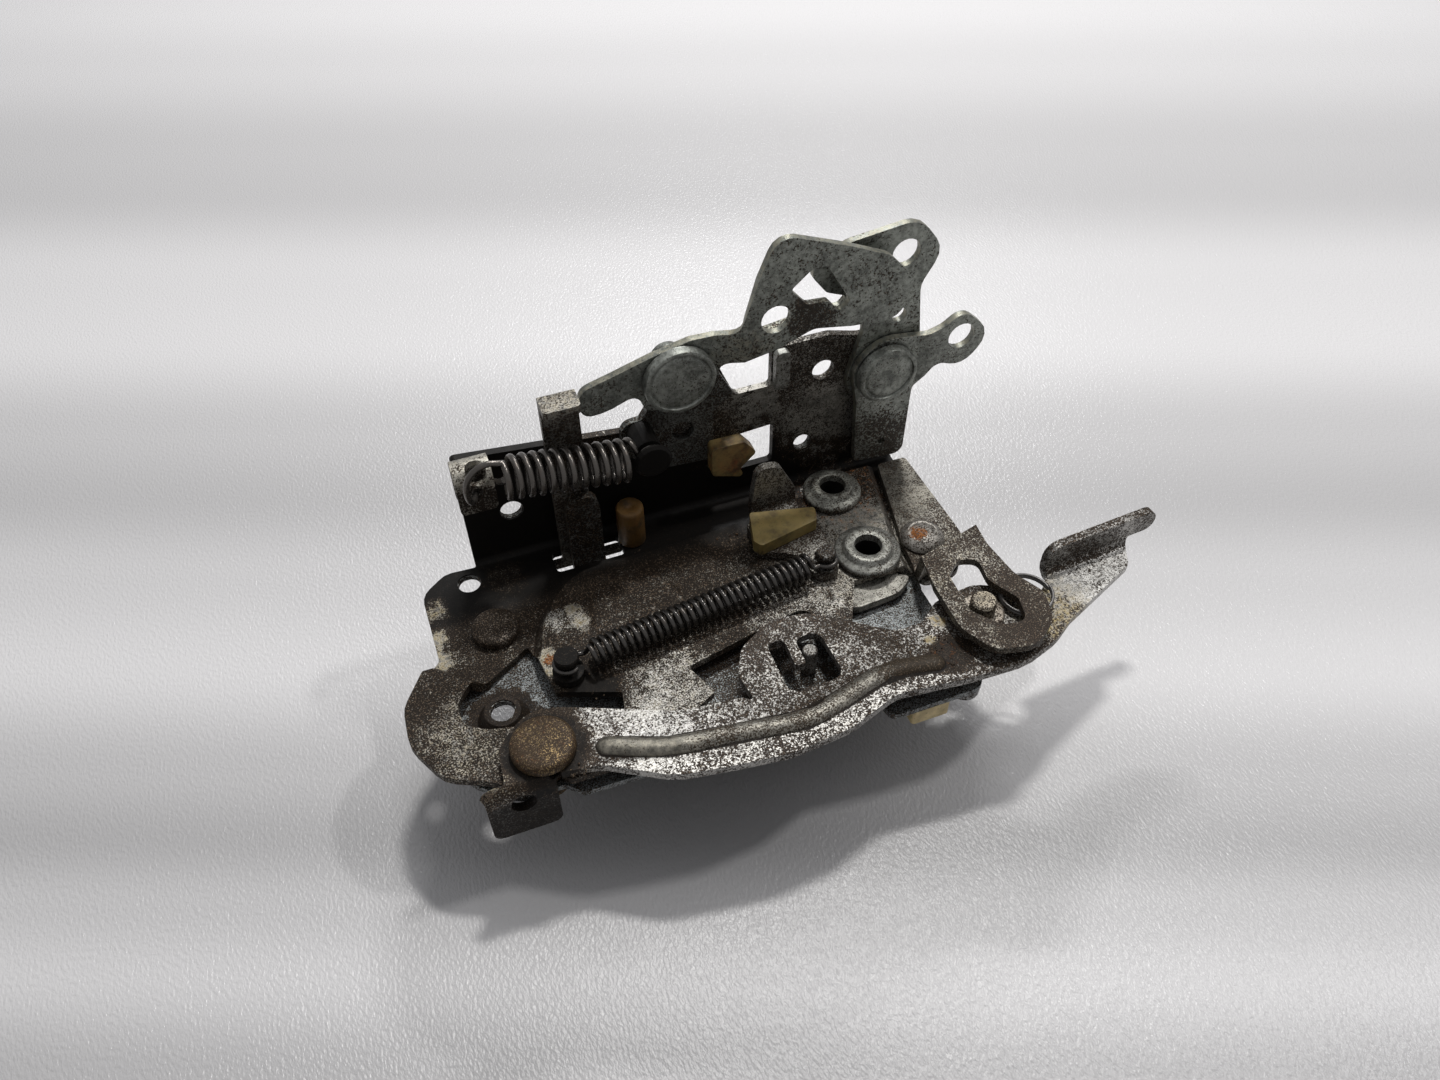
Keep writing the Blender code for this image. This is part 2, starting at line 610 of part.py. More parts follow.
def make_release_arm():
    """The arm that carries the nylon wedge and the lower spring's stud, with a tab turned up behind."""
    turn_y = 4.6
    radius = 1.6
    length = radius * math.pi / 2

    def form(x, y):
        s = y - turn_y
        if s <= 1e-6:
            return x, y, 0
        if s < length:
            a = s / radius
            return x, turn_y + radius * math.sin(a), radius * (1 - math.cos(a))
        return x, turn_y + radius, radius + s - length

    top = turn_y + length + ARM_TAB_HEIGHT - radius
    outline = rounded([(-7.6, -5, 1), (-2, -7.6, 2), (1.2, -10, 3), (1, -15.5, 3), (4.7, -17.4, 3.2),
                       (7.8, -15.5, 3), (8.4, -3, 1.5), (7.6, 2.2, 1.5), (6.4, turn_y, 0),
                       (6, top - 9, 3), (2, top - 1, 2.5), (-3.4, top, 2.5), (-4.6, turn_y + 6, 2),
                       (-5, turn_y, 0), (-7, 3.6, 1)])
    creases = [([(-20, turn_y + length * k / 3), (20, turn_y + length * k / 3)], False) for k in range(4)]
    stud = (4.7, -14)
    top_z = PANEL_TOP + GAP + LEVER_T
    sheet("release_arm", "greasy_steel", LEVER_T, outline,
          [circle(0, 0, ARM_SHANK_R + RUN, 18)], creases, form, (*ARM_PIVOT, top_z))
    rivet("arm_rivet", "rust", ARM_HEAD_R, ARM_SHANK_R, (0.3 + 1.0, 0.3, -LEVER_T - GAP - SHEET - GAP - 0.2,
                                         -LEVER_T - GAP - SHEET - GAP - 0.3 - 1.2),
          (*ARM_PIVOT, top_z), dome=0.4)
    wedge = rounded([(-8.6, -4.6, 0.8), (-7.5, -6.6, 0.8), (7.2, -3.6, 0.8), (8.3, 0.3, 0.8), (-6.3, 3.9, 0.8)])
    body = plate("nylon_wedge", "nylon", wedge, [], GAP, GAP + WEDGE_T, (*ARM_PIVOT, top_z))
    pocket = plate("wedge_pocket", "nylon", circle(0, 0, ARM_HEAD_R + GAP, 20), [], -2, GAP + 1.3,
                   (*ARM_PIVOT, top_z))
    boolean(body, pocket)
    turned("arm_stud", "worn_zinc",
           [(0, 4.6), (1.9, 4.6), (2.1, 4.3), (2.1, 3.4), (1.6, 3.2), (1.6, 0.9), (2.8, 0.9), (2.8, GAP),
            (0, GAP)], (ARM_PIVOT[0] + stud[0], ARM_PIVOT[1] + stud[1], top_z), steps=20)


def make_studs_and_springs():
    z = PANEL_TOP + GAP
    turned("panel_stud", "greasy_steel",
           [(0, z + 6.6), (STUD_R, z + 6.6), (STUD_R + 0.2, z + 6.2), (STUD_R + 0.2, z + 5.2),
            (STUD_R - 0.6, z + 5.0), (STUD_R - 0.6, z + 2.0), (STUD_R + 0.9, z + 1.8), (STUD_R + 0.9, z),
            (0, z)], (*LOWER_STUD, 0), steps=20)
    level = PANEL_TOP + GAP + LEVER_T + 2.05
    left = Vector((*LOWER_STUD, level))
    right = Vector((ARM_PIVOT[0] + 4.7, ARM_PIVOT[1] - 14, level))
    way = (right - left).normalized()
    side = Vector((0, 0, 1)).cross(way)
    out = LOWER_SPRING_R
    first, last = left + way * 6.6, right - way * 6.0
    coils = coil(first, last, out - SPRING_WIRE / 2, LOWER_SPRING_TURNS, 8, 0.0)
    eye_l, eye_r = STUD_R - 0.6 + 0.2 + SPRING_WIRE / 2, 1.6 + 0.2 + SPRING_WIRE / 2
    ring_l = [left + eye_l * (math.cos(a) * way + math.sin(a) * side)
              for a in [math.radians(d) for d in range(300, 29, -30)]]
    ring_r = [right - eye_r * (math.cos(a) * way + math.sin(a) * side)
              for a in [math.radians(d) for d in range(30, 301, 30)]]
    wire("lower_spring", "spring_steel",
         ring_l + [first - way * 1.2 + side * 1.0] + coils + [last + way * 1.2 - side * 1.0] + ring_r,
         SPRING_WIRE)
    start = Vector((9.6, UPPER_SPRING_Y, 34.1))
    stop = Vector((UPPER_STUD[0] - 4.6, UPPER_SPRING_Y, UPPER_STUD[1] + 0.8))
    coils = coil(start, stop, UPPER_SPRING_R - 0.6, UPPER_SPRING_TURNS, 10, 0.0)
    way = (stop - start).normalized()
    ex, ez = ANCHOR_EYE
    hook = [Vector(p) for p in (
        (ex, -5.6, ez + 1.4), (ex, -6.7, ez + 0.4), (ex, -8, ez), (ex - 0.1, -10, ez + 0.1),
        (ex - 0.4, -11.6, ez + 0.9), (ex - 0.9, -12.3, ez + 2.3), (ex - 1.6, -12.3, ez + 4.1),
        (ex - 2, -12.2, ez + 6), (ex - 1.9, -12.2, ez + 7.9), (ex - 0.8, -12.2, ez + 9.7),
        (ex + 0.7, -12.2, ez + 10.8), (ex + 2.3, -12.2, ez + 11.1), (ex + 4, -12.2, ez + 10.8))]
    disc = Vector((UPPER_STUD[0], UPPER_SPRING_Y, UPPER_STUD[1]))
    ring = [disc + 2.5 * Vector((math.cos(math.radians(a)), 0, math.sin(math.radians(a))))
            for a in range(160, -151, -30)]
    wire("upper_spring", "spring_steel", hook + coils + ring, 1.2)
    front = REAR_Y - GAP
    depth = front - UPPER_SPRING_Y
    turned("handle_stud", "greasy_steel",
           [(0, depth + 2.0), (3.6, depth + 2.0), (4.2, depth + 1.5), (4.2, depth + 1.0), (1.7, depth + 0.9),
            (1.7, depth - 1.4), (3.0, depth - 1.6), (3.0, 0), (0, 0)],
           (UPPER_STUD[0], front, UPPER_STUD[1]), facing="-Y", steps=20)


def make_flange_levers():
    hx, hz = HANDLE_PIVOT
    rear = rounded(local([
        (hx - 7.6, hz + 4.6, 5), (hx + 7.5, hz + 4.8, 6), (hx + 10, hz - 3.5, 2), (63.4, 33.5, 0.8),
        (58.5, 29.5, 2), (58.5, 15.5, 2), (46, 16.5, 3), (37, 24, 4), (37.6, 32, 3), (42.6, 32.2, 2),
        (44.6, 36.5, 2)],
        HANDLE_PIVOT))
    plate("rear_lever", "greasy_steel", rear,
          [circle(0, 0, FLANGE_SHANK_R + RUN), circle(51.5 - hx, 26.1 - hz, 2.6, 18)],
          -FLANGE_LEVER_T, 0, (hx, REAR_Y, hz), upright=True)
    step_from, step_to = HANDLE_HEAD_R + GAP, HANDLE_HEAD_R + 6

    def form(x, z):
        t = max(0.0, min(1.0, (x - step_from) / (step_to - step_from)))
        return x, -HANDLE_STEP * t, z

    blank = rounded(local([
        (28.7, 38.2, 3.2), (28.9, 45.2, 3), (36, 47.2, 6), (44.6, 49.8, 5), (53.3, 51.8, 4), (58, 51.6, 3),
        (62.8, 52.6, 3), (66.9, 64.8, 3), (70.8, 74.2, 4.2), (86.5, 68.1, 6), (95.8, 63.8, 4),
        (102.4, 56.6, 6.5), (99.6, 47.2, 4.5), (88.3, 48.2, 5), (79.5, 49.9, 4), (71.5, 46.8, 4), (59.6, 44.6, 3),
        (57.5, 36.5, 7), (42.5, 35.5, 7), (41.6, 41.4, 2.5), (34.5, 38.6, 8)], HANDLE_PIVOT))
    opening = rounded(local([(73.8, 60.8, 0.8), (78.2, 64.6, 1.5), (81.6, 64.8, 1.5), (87.6, 54.8, 1.2),
                             (85.2, 52.6, 1), (82.4, 56, 1), (77.6, 56.4, 1.2)], HANDLE_PIVOT))
    creases = [([(t, -60), (t, 60)], False) for t in (step_from, step_to)]
    sheet("handle_lever", "worn_zinc", FLANGE_LEVER_T, blank,
          [circle(0, 0, FLANGE_SHANK_R + RUN), circle(70.8 - hx, 54.5 - hz, 3.3, 20), opening],
          creases, form, (hx, FRONT_Y, hz))
    gx, gz = EYE_PIVOT
    tall = rounded(local([
        (gx - 8.4, gz - 2, 6), (gx - 5.2, 41.5, 2), (gx - 6.2, 46.5, 1.5), (80, 46.2, 3), (69.4, 45.6, 1.2),
        (69.2, 48, 1.2), (76, 49, 4), (88, 50.1, 1.2), (89.6, 52, 1.2), (84.4, 54.2, 2), (79.8, 60.2, 2.5),
        (88.5, 65.2, 6), (105, 67.2, 6.5), (111.6, 58.6, 5.5), (107, 50.5, 5), (gx + 9.4, 36, 6),
        (gx + 8, gz - 8, 8), (gx - 7, gz - 8, 7)], EYE_PIVOT))
    plate("tall_eye_lever", "zinc", tall,
          [circle(0, 0, FLANGE_SHANK_R + RUN), circle(102.5 - gx, 59.6 - gz, 3.3, 20),
           circle(102.7 - gx, 43.7 - gz, 1.8, 16)],
          -FLANGE_LEVER_T, 0, (gx, REAR_Y, gz), upright=True)
    side = rounded(local([
        (gx - 8.2, gz + 2, 7), (gx - 2, gz + 8.8, 8), (108.4, 38, 4), (113, 39.2, 3), (117.7, 42.6, 5.5),
        (126.2, 34.8, 6), (119.4, 26.8, 5.5), (112.6, 29.6, 3), (107.2, 23.4, 2.5), (107, 2.9, 2.5),
        (94, 4.2, 1), (93, 23, 4)], EYE_PIVOT))
    eye_from, eye_to = EYE_HEAD_R + 1.2, EYE_HEAD_R + 3.4

    def eye_form(x, z):
        return x, -EYE_STEP * max(0.0, min(1.0, (x - eye_from) / (eye_to - eye_from))), z

    creases = [([(t, -60), (t, 60)], False) for t in (eye_from, eye_to)]
    sheet("side_eye_lever", "zinc", FLANGE_LEVER_T, side,
          [circle(0, 0, FLANGE_SHANK_R + RUN), circle(118 - gx, 35.6 - gz, 3.3, 20),
           circle(100.9 - gx, 8.6 - gz, 0.9, 12)],
          creases, eye_form, (gx, FRONT_Y, gz))
    tab = rounded([(0.2, 31.2, 0.6), (3.6, 31.2, 0.6), (3.6, 41, 1), (0.2, 41, 1)])
    plate("window_tab", "zinc", shifted(tab, 73.2, 0), [], GAP, GAP + 1.8, (0, FLANGE_Y, 0), upright=True)
    shape = [(57, 13.4, 1), (60.6, 12.2, 1), (64.8, 10.6, 1), (63.8, 13.6, 0.6), (67.8, 17.4, 1), (64.8, 21.4, 1),
             (57, 21.6, 1)]
    plate("window_clip", "nylon", rounded(shape), [], REAR_T, REAR_T + 3.2, (0, FLANGE_Y, 0), upright=True)


REAR_T = FLANGE_LEVER_T + 2 * GAP


def make_anchor_tab():
    """A tab riveted at the flange's top corner, turned forward and down, that holds the upper spring."""
    radius, reach = 1.4, 4.0
    bend = radius * math.pi / 2
    z_top = 32.6

    def form(x, v):
        if v <= 0:
            return x, 0, v - radius
        if v < bend:
            a = v / radius
            return x, -radius * (1 - math.cos(a)), -radius + radius * math.sin(a)
        v -= bend
        if v < reach - 2 * radius:
            return x, -radius - v, 0
        v -= reach - 2 * radius
        if v < bend:
            a = v / radius
            return x, radius - reach - radius * math.sin(a), -radius * (1 - math.cos(a))
        return x, -reach, -radius - (v - bend)

    full = 2 * bend + reach - 2 * radius
    outline = rounded([(0.4, -9, 1), (8.4, -9, 1), (8.4, full + 8.4, 1.2), (0.4, full + 8.4, 1.2)])
    stops = [0, bend / 2, bend, bend + reach - 2 * radius, full - bend / 2, full]
    creases = [([(-20, v), (30, v)], False) for v in stops]
    eye = circle(ANCHOR_EYE[0], full + z_top - radius - ANCHOR_EYE[1], 1.5, 16)
    sheet("anchor_tab", "worn_zinc", 1.4, outline, [eye, circle(5.2, full - bend / 2, 2.1, 18)], creases, form,
          (0, FLANGE_Y - GAP - 1.4, z_top))


def make_post():
    """The lock post that slides through the slot at the fold, and the link behind it."""
    x, half = POST_X, POST_WIDTH / 2
    foot = -SHEET - GAP
    low = LOWER_BOTTOM
    low_y = -4.3 - RUN
    shape = [(x - half, POST_TOP - 0.2, 0.8), (x - half, foot, 0.3), (x - half - 4, foot, 0.5),
             (x - half - 4, low, 0.5), (x + half + 6, low, 0.5), (x + half + 6, foot, 0.5),
             (x + half, foot, 0.3), (x + half, POST_TOP - 0.2, 0.8)]
    post = plate("lock_post", "worn_zinc", rounded(shape), [], -low_y, POST_T - low_y, (0, 0, 0), upright=True)
    head = plate("post_head", "worn_zinc",
                 rounded([(x - half, -low_y), (x + half, -low_y), (x + half, POST_HEAD - low_y, 1),
                          (x - half, POST_HEAD - low_y, 1)]), [], 0, 2.0, (0, 0, POST_TOP - 2))
    head.scale = (1, -1, 1)
    boolean(post, head, "UNION")
    x += 1.6
    shape = [(x - half + 0.2, 19.5, 3.4), (x - half + 0.2, low, 0.5), (x + half - 0.2, low, 0.5),
             (x + half - 0.2, 19.5, 3.4)]
    near = POST_T - low_y + GAP
    plate("lock_link", "greasy_steel", rounded(shape), [], near, near + 2.4, (0, 0, 0), upright=True)


def make_ribbed_lever():
    fx, fy = LEVER_PIVOT
    turn = math.radians(TAB_TURN)
    t0 = Vector((117.1 - fx, -55.5 - fy))
    along, across = Vector((math.cos(turn), math.sin(turn))), Vector((-math.sin(turn), math.cos(turn)))
    bend = TAB_R * math.pi / 2
    rim = bend + TAB_HEIGHT - TAB_R
    ear_y = -4.5
    ear_bend = EAR_R * math.pi / 2
    rib = local([(14.5, -62.4), (25.3, -66.6), (39, -68.6), (52.8, -70.4), (61, -68.8), (69.7, -66.4),
                 (76, -66), (83, -67.4)], LEVER_PIVOT)

    def tab(s, q, r=0.0):
        p = t0 + along * s + across * q
        return p.x, p.y, r

    def form(x, y):
        p = Vector((x, y)) - t0
        s, q = p.dot(along), p.dot(across)
        if q > 1e-6 and s > -0.3:
            a = min(q, bend) / TAB_R
            flat = t0 + along * s + across * (TAB_R * math.sin(a))
            return flat.x, flat.y, TAB_R * (1 - math.cos(a)) + max(0.0, q - bend)
        if y < ear_y - 1e-6 and x < 0.9:
            drop = ear_y - y
            a = min(drop, ear_bend) / EAR_R
            return x, ear_y - EAR_R * math.sin(a), -EAR_R * (1 - math.cos(a)) - max(0.0, drop - ear_bend)
        d = distance((x, y), rib)
        return x, y, RIB_H * max(0.0, 1 - (d / RIB_W) ** 2)

    low = ear_y - ear_bend - 13.0
    outline = rounded(
        [(-8.4, 3.5, 7), (-1, 9.6, 9), (5, 8.6, 6), (13, 5.2, 8), (27.6, -1.2, 10), (40.4, -2.6, 1),
         (42.6, -4.4, 0.6), (41.6, 2.6, 3), (44.6, 9, 5), (52.6, 13.6, 7), (61, 13, 6), (69, 7.4, 8),
         (76.6, 1.6, 5), (83, 1.6, 3), (88, 5.6, 4), (98, 7.2, 6), (104, 4.2, 4), (110.8, -0.4, 4), (t0.x - 0.8, t0.y - 0.2, 0.4)]
        + [tab(0, 0.5, 0.4), tab(0.2, rim, 3.2), tab(29, rim, 2.6), tab(29, bend + 0.2, 2.4),
           tab(22.3, bend + 0.2, 0.8), tab(21.8, 1.4, 1), tab(18.4, -4.4, 2)]
        + [(113, -8.8, 6), (107.2, -12.4, 8), (98.5, -15.2, 10), (86, -14.8, 8), (69.6, -13, 8), (58, -17, 8),
           (45, -18.2, 12), (33.9, -16.8, 12), (22, -14.8, 10), (9.5, -7.4, 5), (1.8, -6.3, 0.3),
           (1.2, ear_y - 0.2, 0.3), (-0.8, ear_y, 0), (-0.6, ear_y - 1.6, 1), (0.5, ear_y - 3.8, 2), (0.5, low, 2),
           (-13.4, low, 2), (-13.5, ear_y - 3.2, 2.5), (-8.9, ear_y - 0.2, 1)])
    cam = rounded(local([
        (52.6, -50.4, 1.4), (56.6, -50.2, 1.4), (56.2, -57.6, 0.6), (58.6, -57.8, 0.6), (58.6, -51.4, 1.6),
        (64.2, -50.4, 2.4), (64.8, -63.4, 2.6), (52.4, -64, 2.8)], LEVER_PIVOT))
    ear_hole = circle(-6.3, ear_y - ear_bend - 2.8, 2.6, 18)
    creases = [(capsule(rib, RIB_W), True), (capsule(rib, RIB_W / 2), True), (rib, False)]
    for k in range(4):
        q = bend * k / 3
        creases.append(([tab(-0.3, q)[:2], tab(60, q)[:2]], False))
        v = ear_y - ear_bend * k / 3
        creases.append(([(-30, v), (0.8, v)], False))
    sheet("ribbed_lever", "zinc", LEVER_T, outline,
          [circle(0, 0, LEVER_SHANK_R + RUN), cam, ear_hole], creases, form, (fx, fy, LEVER_TOP))
    px, py = SLOT_PIN
    turned("slot_washer", "rust", [(SLOT_PIN_R + GAP, 1.1), (SLOT_WASHER_R, 1.1), (SLOT_WASHER_R, 0),
                                   (SLOT_PIN_R + GAP, 0)], (px, py, LEVER_TOP + GAP), steps=24)
    turned("slot_pin", "worn_zinc", [(0, 4.7), (SLOT_PIN_R - 0.4, 4.7), (SLOT_PIN_R, 4.3), (SLOT_PIN_R, 0),
                                     (0, 0)], (px, py, LEVER_TOP + GAP), steps=24)
    turned("cam_pin", "zinc", [(0, LEVER_TOP - 0.2), (CAM_PIN_R - 0.2, LEVER_TOP - 0.2),
                               (CAM_PIN_R, LEVER_TOP - 0.4), (CAM_PIN_R, LOWER_TOP + GAP),
                               (0, LOWER_TOP + GAP)], (*CAM_PIN, 0), steps=16)


SLOT_PIN = (98.2, -59.4)


def make_link():
    cx, cy = LINK_PIVOT
    tilt = math.radians(15)
    way = Vector((math.sin(tilt), -math.cos(tilt)))
    side = Vector((way.y, -way.x))
    rise_from, rise_to = 6.6, 8.6

    def form(x, y):
        t = Vector((x, y)).dot(way)
        return x, y, LINK_RISE * max(0.0, min(1.0, (t - rise_from) / (rise_to - rise_from)))

    outline = rounded(local([
        (100, -6.6, 1), (96.9, -20, 3), (95.2, -27, 3), (93.7, -33, 2), (93, -39, 2), (92, -42.4, 0.4),
        (90.6, -52, 6), (90.4, -64, 6), (94, -71.2, 5), (103, -73.4, 6), (109.6, -68.4, 4),
        (111.6, -61.4, 3), (108.4, -55, 5), (107.2, -45, 5), (107.8, -38.6, 1), (107.9, -31, 4),
        (107.4, -6.6, 1)], LINK_PIVOT))
    slot = rounded(local([(95, -50.2, 2), (99, -46.8, 2.4), (103, -48.4, 2), (102.2, -54.4, 3),
                          (105.6, -61, 2), (104.2, -67, 2), (98.6, -66, 3), (94.4, -60.4, 3)], LINK_PIVOT))
    creases = []
    for t in (rise_from, rise_to):
        middle = way * t
        creases.append(([tuple(middle - side * 40), tuple(middle + side * 40)], False))
    sheet("slotted_link", "worn_zinc", LINK_T, outline, [circle(0, 0, LINK_SHANK_R + RUN, 20), slot],
          creases, form, (cx, cy, LINK_TOP))
    middle = Vector((109.3, -58.9, LEVER_TOP + GAP + 0.5))
    turn = [middle + Vector((5.6 * math.cos(math.radians(a)), 5.6 * math.sin(math.radians(a)), (a + 120) / 420))
            for a in range(-120, 301, 20)]
    wire("link_spring", "spring_steel", turn, 0.8)


def make_small_pieces():
    turned("rubber_buffer", "nylon",
           [(0, BUFFER_H), (BUFFER_R * 0.5, BUFFER_H - 0.2), (BUFFER_R * 0.85, BUFFER_H - 0.9),
            (BUFFER_R, BUFFER_H - 2.2), (BUFFER_R, 0), (0, 0)], (*BUFFER, GAP))
    block = rounded([(77.6, -71.2, 0.8), (86.4, -71.2, 0.8), (86.4, -64, 0.8), (77.6, -64, 0.8)])
    plate("bumper_block", "nylon", block, [], CASE_TOP - BUMPER_T, CASE_TOP)
    turned("stop_bush", "zinc", [(0, CASE_TOP), (3.4, CASE_TOP), (3.4, CASE_TOP - 2.4),
                                 (2.9, CASE_TOP - 2.9), (0, CASE_TOP - 2.9)], (91.2, -68, 0), steps=20)


clear_scene()
make_bracket()
make_lower_plate()
make_case()
make_rivets()
collar("far_collar", FAR_COLLAR, FAR_COLLAR_R, LOWER_BOTTOM)
collar("near_collar", NEAR_COLLAR, NEAR_COLLAR_R, CASE_FLOOR + GAP)
make_latch()
make_release_arm()
make_studs_and_springs()
make_flange_levers()
make_anchor_tab()
make_post()
make_ribbed_lever()
make_link()
make_small_pieces()
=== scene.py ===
"""Studio scene of the car door lock: finishes, wire springs, turned pieces, floor, light and camera."""
import math
import random

import bpy
from mathutils import Matrix, Vector


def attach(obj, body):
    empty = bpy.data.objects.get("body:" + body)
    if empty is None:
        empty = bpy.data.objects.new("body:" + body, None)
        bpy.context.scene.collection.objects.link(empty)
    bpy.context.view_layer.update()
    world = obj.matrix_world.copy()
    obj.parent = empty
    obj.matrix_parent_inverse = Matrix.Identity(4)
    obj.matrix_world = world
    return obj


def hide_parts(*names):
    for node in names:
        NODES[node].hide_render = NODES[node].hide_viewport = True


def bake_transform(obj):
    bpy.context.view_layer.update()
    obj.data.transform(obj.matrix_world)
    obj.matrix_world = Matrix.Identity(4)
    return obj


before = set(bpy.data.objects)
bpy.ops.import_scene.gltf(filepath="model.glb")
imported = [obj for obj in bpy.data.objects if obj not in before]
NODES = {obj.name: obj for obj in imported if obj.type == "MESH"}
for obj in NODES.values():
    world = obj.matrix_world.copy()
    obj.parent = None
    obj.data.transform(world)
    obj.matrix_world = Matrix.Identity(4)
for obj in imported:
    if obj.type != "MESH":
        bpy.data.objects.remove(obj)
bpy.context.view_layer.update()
MM = 0.001
# Where the scene's origin, on the floor under the latch case, lies in the lock's own millimetres
HOME = Vector((51.0, -28.5, -28.0))

# Relief of a finish's bump, and the most that a cut edge is rounded, in metres
RELIEF_DEPTH = 0.0002
EDGE_WIDTH = 0.00022
# Vertices of a sheet closer than this, in metres, are one
WELD_DISTANCE = 0.000002
# Edges flatter than this stay smooth on a new piece; sharper than this are rounded on a sheet
SMOOTH_ANGLE = math.radians(40)
CUT_ANGLE = math.radians(50)


def place(x, y, z):
    """A point given in the lock's own millimetres, in the scene's metres."""
    return (Vector((x, y, z)) - HOME) * MM


# Shader helpers


def node(tree, kind, **settings):
    """A new shader node, named without its common prefix."""
    made = tree.nodes.new("ShaderNode" + kind)
    for key, value in settings.items():
        setattr(made, key, value)
    return made


def maths(tree, operation, a, b=None, clamp=False):
    """A maths step on one or two values or outputs."""
    made = node(tree, "Math", operation=operation, use_clamp=clamp)
    for socket, value in zip(made.inputs, (a, b)):
        if value is None:
            continue
        if isinstance(value, (int, float)):
            socket.default_value = value
        else:
            tree.links.new(value, socket)
    return made.outputs[0]


def feed(tree, value, socket):
    """Sets a socket's value, or links an output to it."""
    if hasattr(value, "is_output"):
        tree.links.new(value, socket)
    elif hasattr(value, "__len__") and len(socket.default_value) == 4:
        socket.default_value = (*value, 1)
    else:
        socket.default_value = value


def mix(tree, factor, a, b):
    """Colour a, going over to colour b as factor rises."""
    made = node(tree, "Mix", data_type="RGBA")
    for socket, value in zip((made.inputs[0], made.inputs[6], made.inputs[7]), (factor, a, b)):
        feed(tree, value, socket)
    return made.outputs[2]


def ramp(tree, value, low, high, start=0.0, end=1.0):
    """Goes smoothly from start to end as value goes from low to high."""
    made = node(tree, "MapRange", interpolation_type="SMOOTHSTEP")
    for socket, item in zip(made.inputs, (value, low, high, start, end)):
        feed(tree, item, socket)
    return made.outputs[0]


def noise(tree, vector, scale, detail=3.0, rough=0.6, kind="FBM"):
    made = node(tree, "TexNoise", noise_dimensions="3D", noise_type=kind)
    tree.links.new(vector, made.inputs["Vector"])
    feed(tree, scale, made.inputs["Scale"])
    made.inputs["Detail"].default_value = detail
    made.inputs["Roughness"].default_value = rough
    return made.outputs["Fac"]


def new_group(name, ins, outs):
    """A node group with its named inputs and outputs."""
    tree = bpy.data.node_groups.new(name, "ShaderNodeTree")
    for label, kind, value in ins:
        socket = tree.interface.new_socket(label, in_out="INPUT", socket_type="NodeSocket" + kind)
        if value is not None:
            socket.default_value = value
    for label, kind in outs:
        tree.interface.new_socket(label, in_out="OUTPUT", socket_type="NodeSocket" + kind)
    return tree, tree.nodes.new("NodeGroupInput"), tree.nodes.new("NodeGroupOutput")


# Shader groups


def speck_group():
    """Grease and rust specks: mostly a fine grain, under a slow change of density."""
    tree, given, out = new_group(
        "Specks", [("Vector", "Vector", None), ("Amount", "Float", 0.5), ("Scale", "Float", 2000.0)],
        [("Mask", "Float"), ("Height", "Float")])
    vector, amount, scale = given.outputs[:3]
    fine = noise(tree, vector, scale, 3, 0.65)
    coarse = noise(tree, vector, maths(tree, "MULTIPLY", scale, 0.28), 4, 0.7)
    slow = noise(tree, vector, maths(tree, "MULTIPLY", scale, 0.05), 3, 0.6)
    grain = maths(tree, "ADD", maths(tree, "MULTIPLY", fine, 0.6), maths(tree, "MULTIPLY", coarse, 0.2))
    grain = maths(tree, "ADD", grain, maths(tree, "MULTIPLY", slow, 0.2))
    most = maths(tree, "MULTIPLY", maths(tree, "MINIMUM", amount, 0.8), 0.38)
    edge = maths(tree, "SUBTRACT", 0.69, most)
    mask = ramp(tree, grain, maths(tree, "SUBTRACT", edge, 0.028), maths(tree, "ADD", edge, 0.028))
    tree.links.new(mask, out.inputs["Mask"])
    tree.links.new(grain, out.inputs["Height"])
    return tree


def spot_group():
    """A soft patch with a ragged edge round a place."""
    tree, given, out = new_group(
        "Spot", [("Vector", "Vector", None), ("Place", "Vector", (0, 0, 0)), ("Radius", "Float", 0.01),
                 ("Soft", "Float", 0.004)], [("Mask", "Float")])
    vector, centre, radius, soft = given.outputs[:4]
    far = node(tree, "VectorMath", operation="DISTANCE")
    tree.links.new(vector, far.inputs[0])
    tree.links.new(centre, far.inputs[1])
    wobble = maths(tree, "MULTIPLY", maths(tree, "SUBTRACT", noise(tree, vector, 420, 4, 0.7), 0.5),
                   maths(tree, "MULTIPLY", soft, 2.4))
    reach = maths(tree, "ADD", far.outputs["Value"], wobble)
    mask = ramp(tree, reach, radius, maths(tree, "ADD", radius, soft), 1.0, 0.0)
    tree.links.new(mask, out.inputs["Mask"])
    return tree


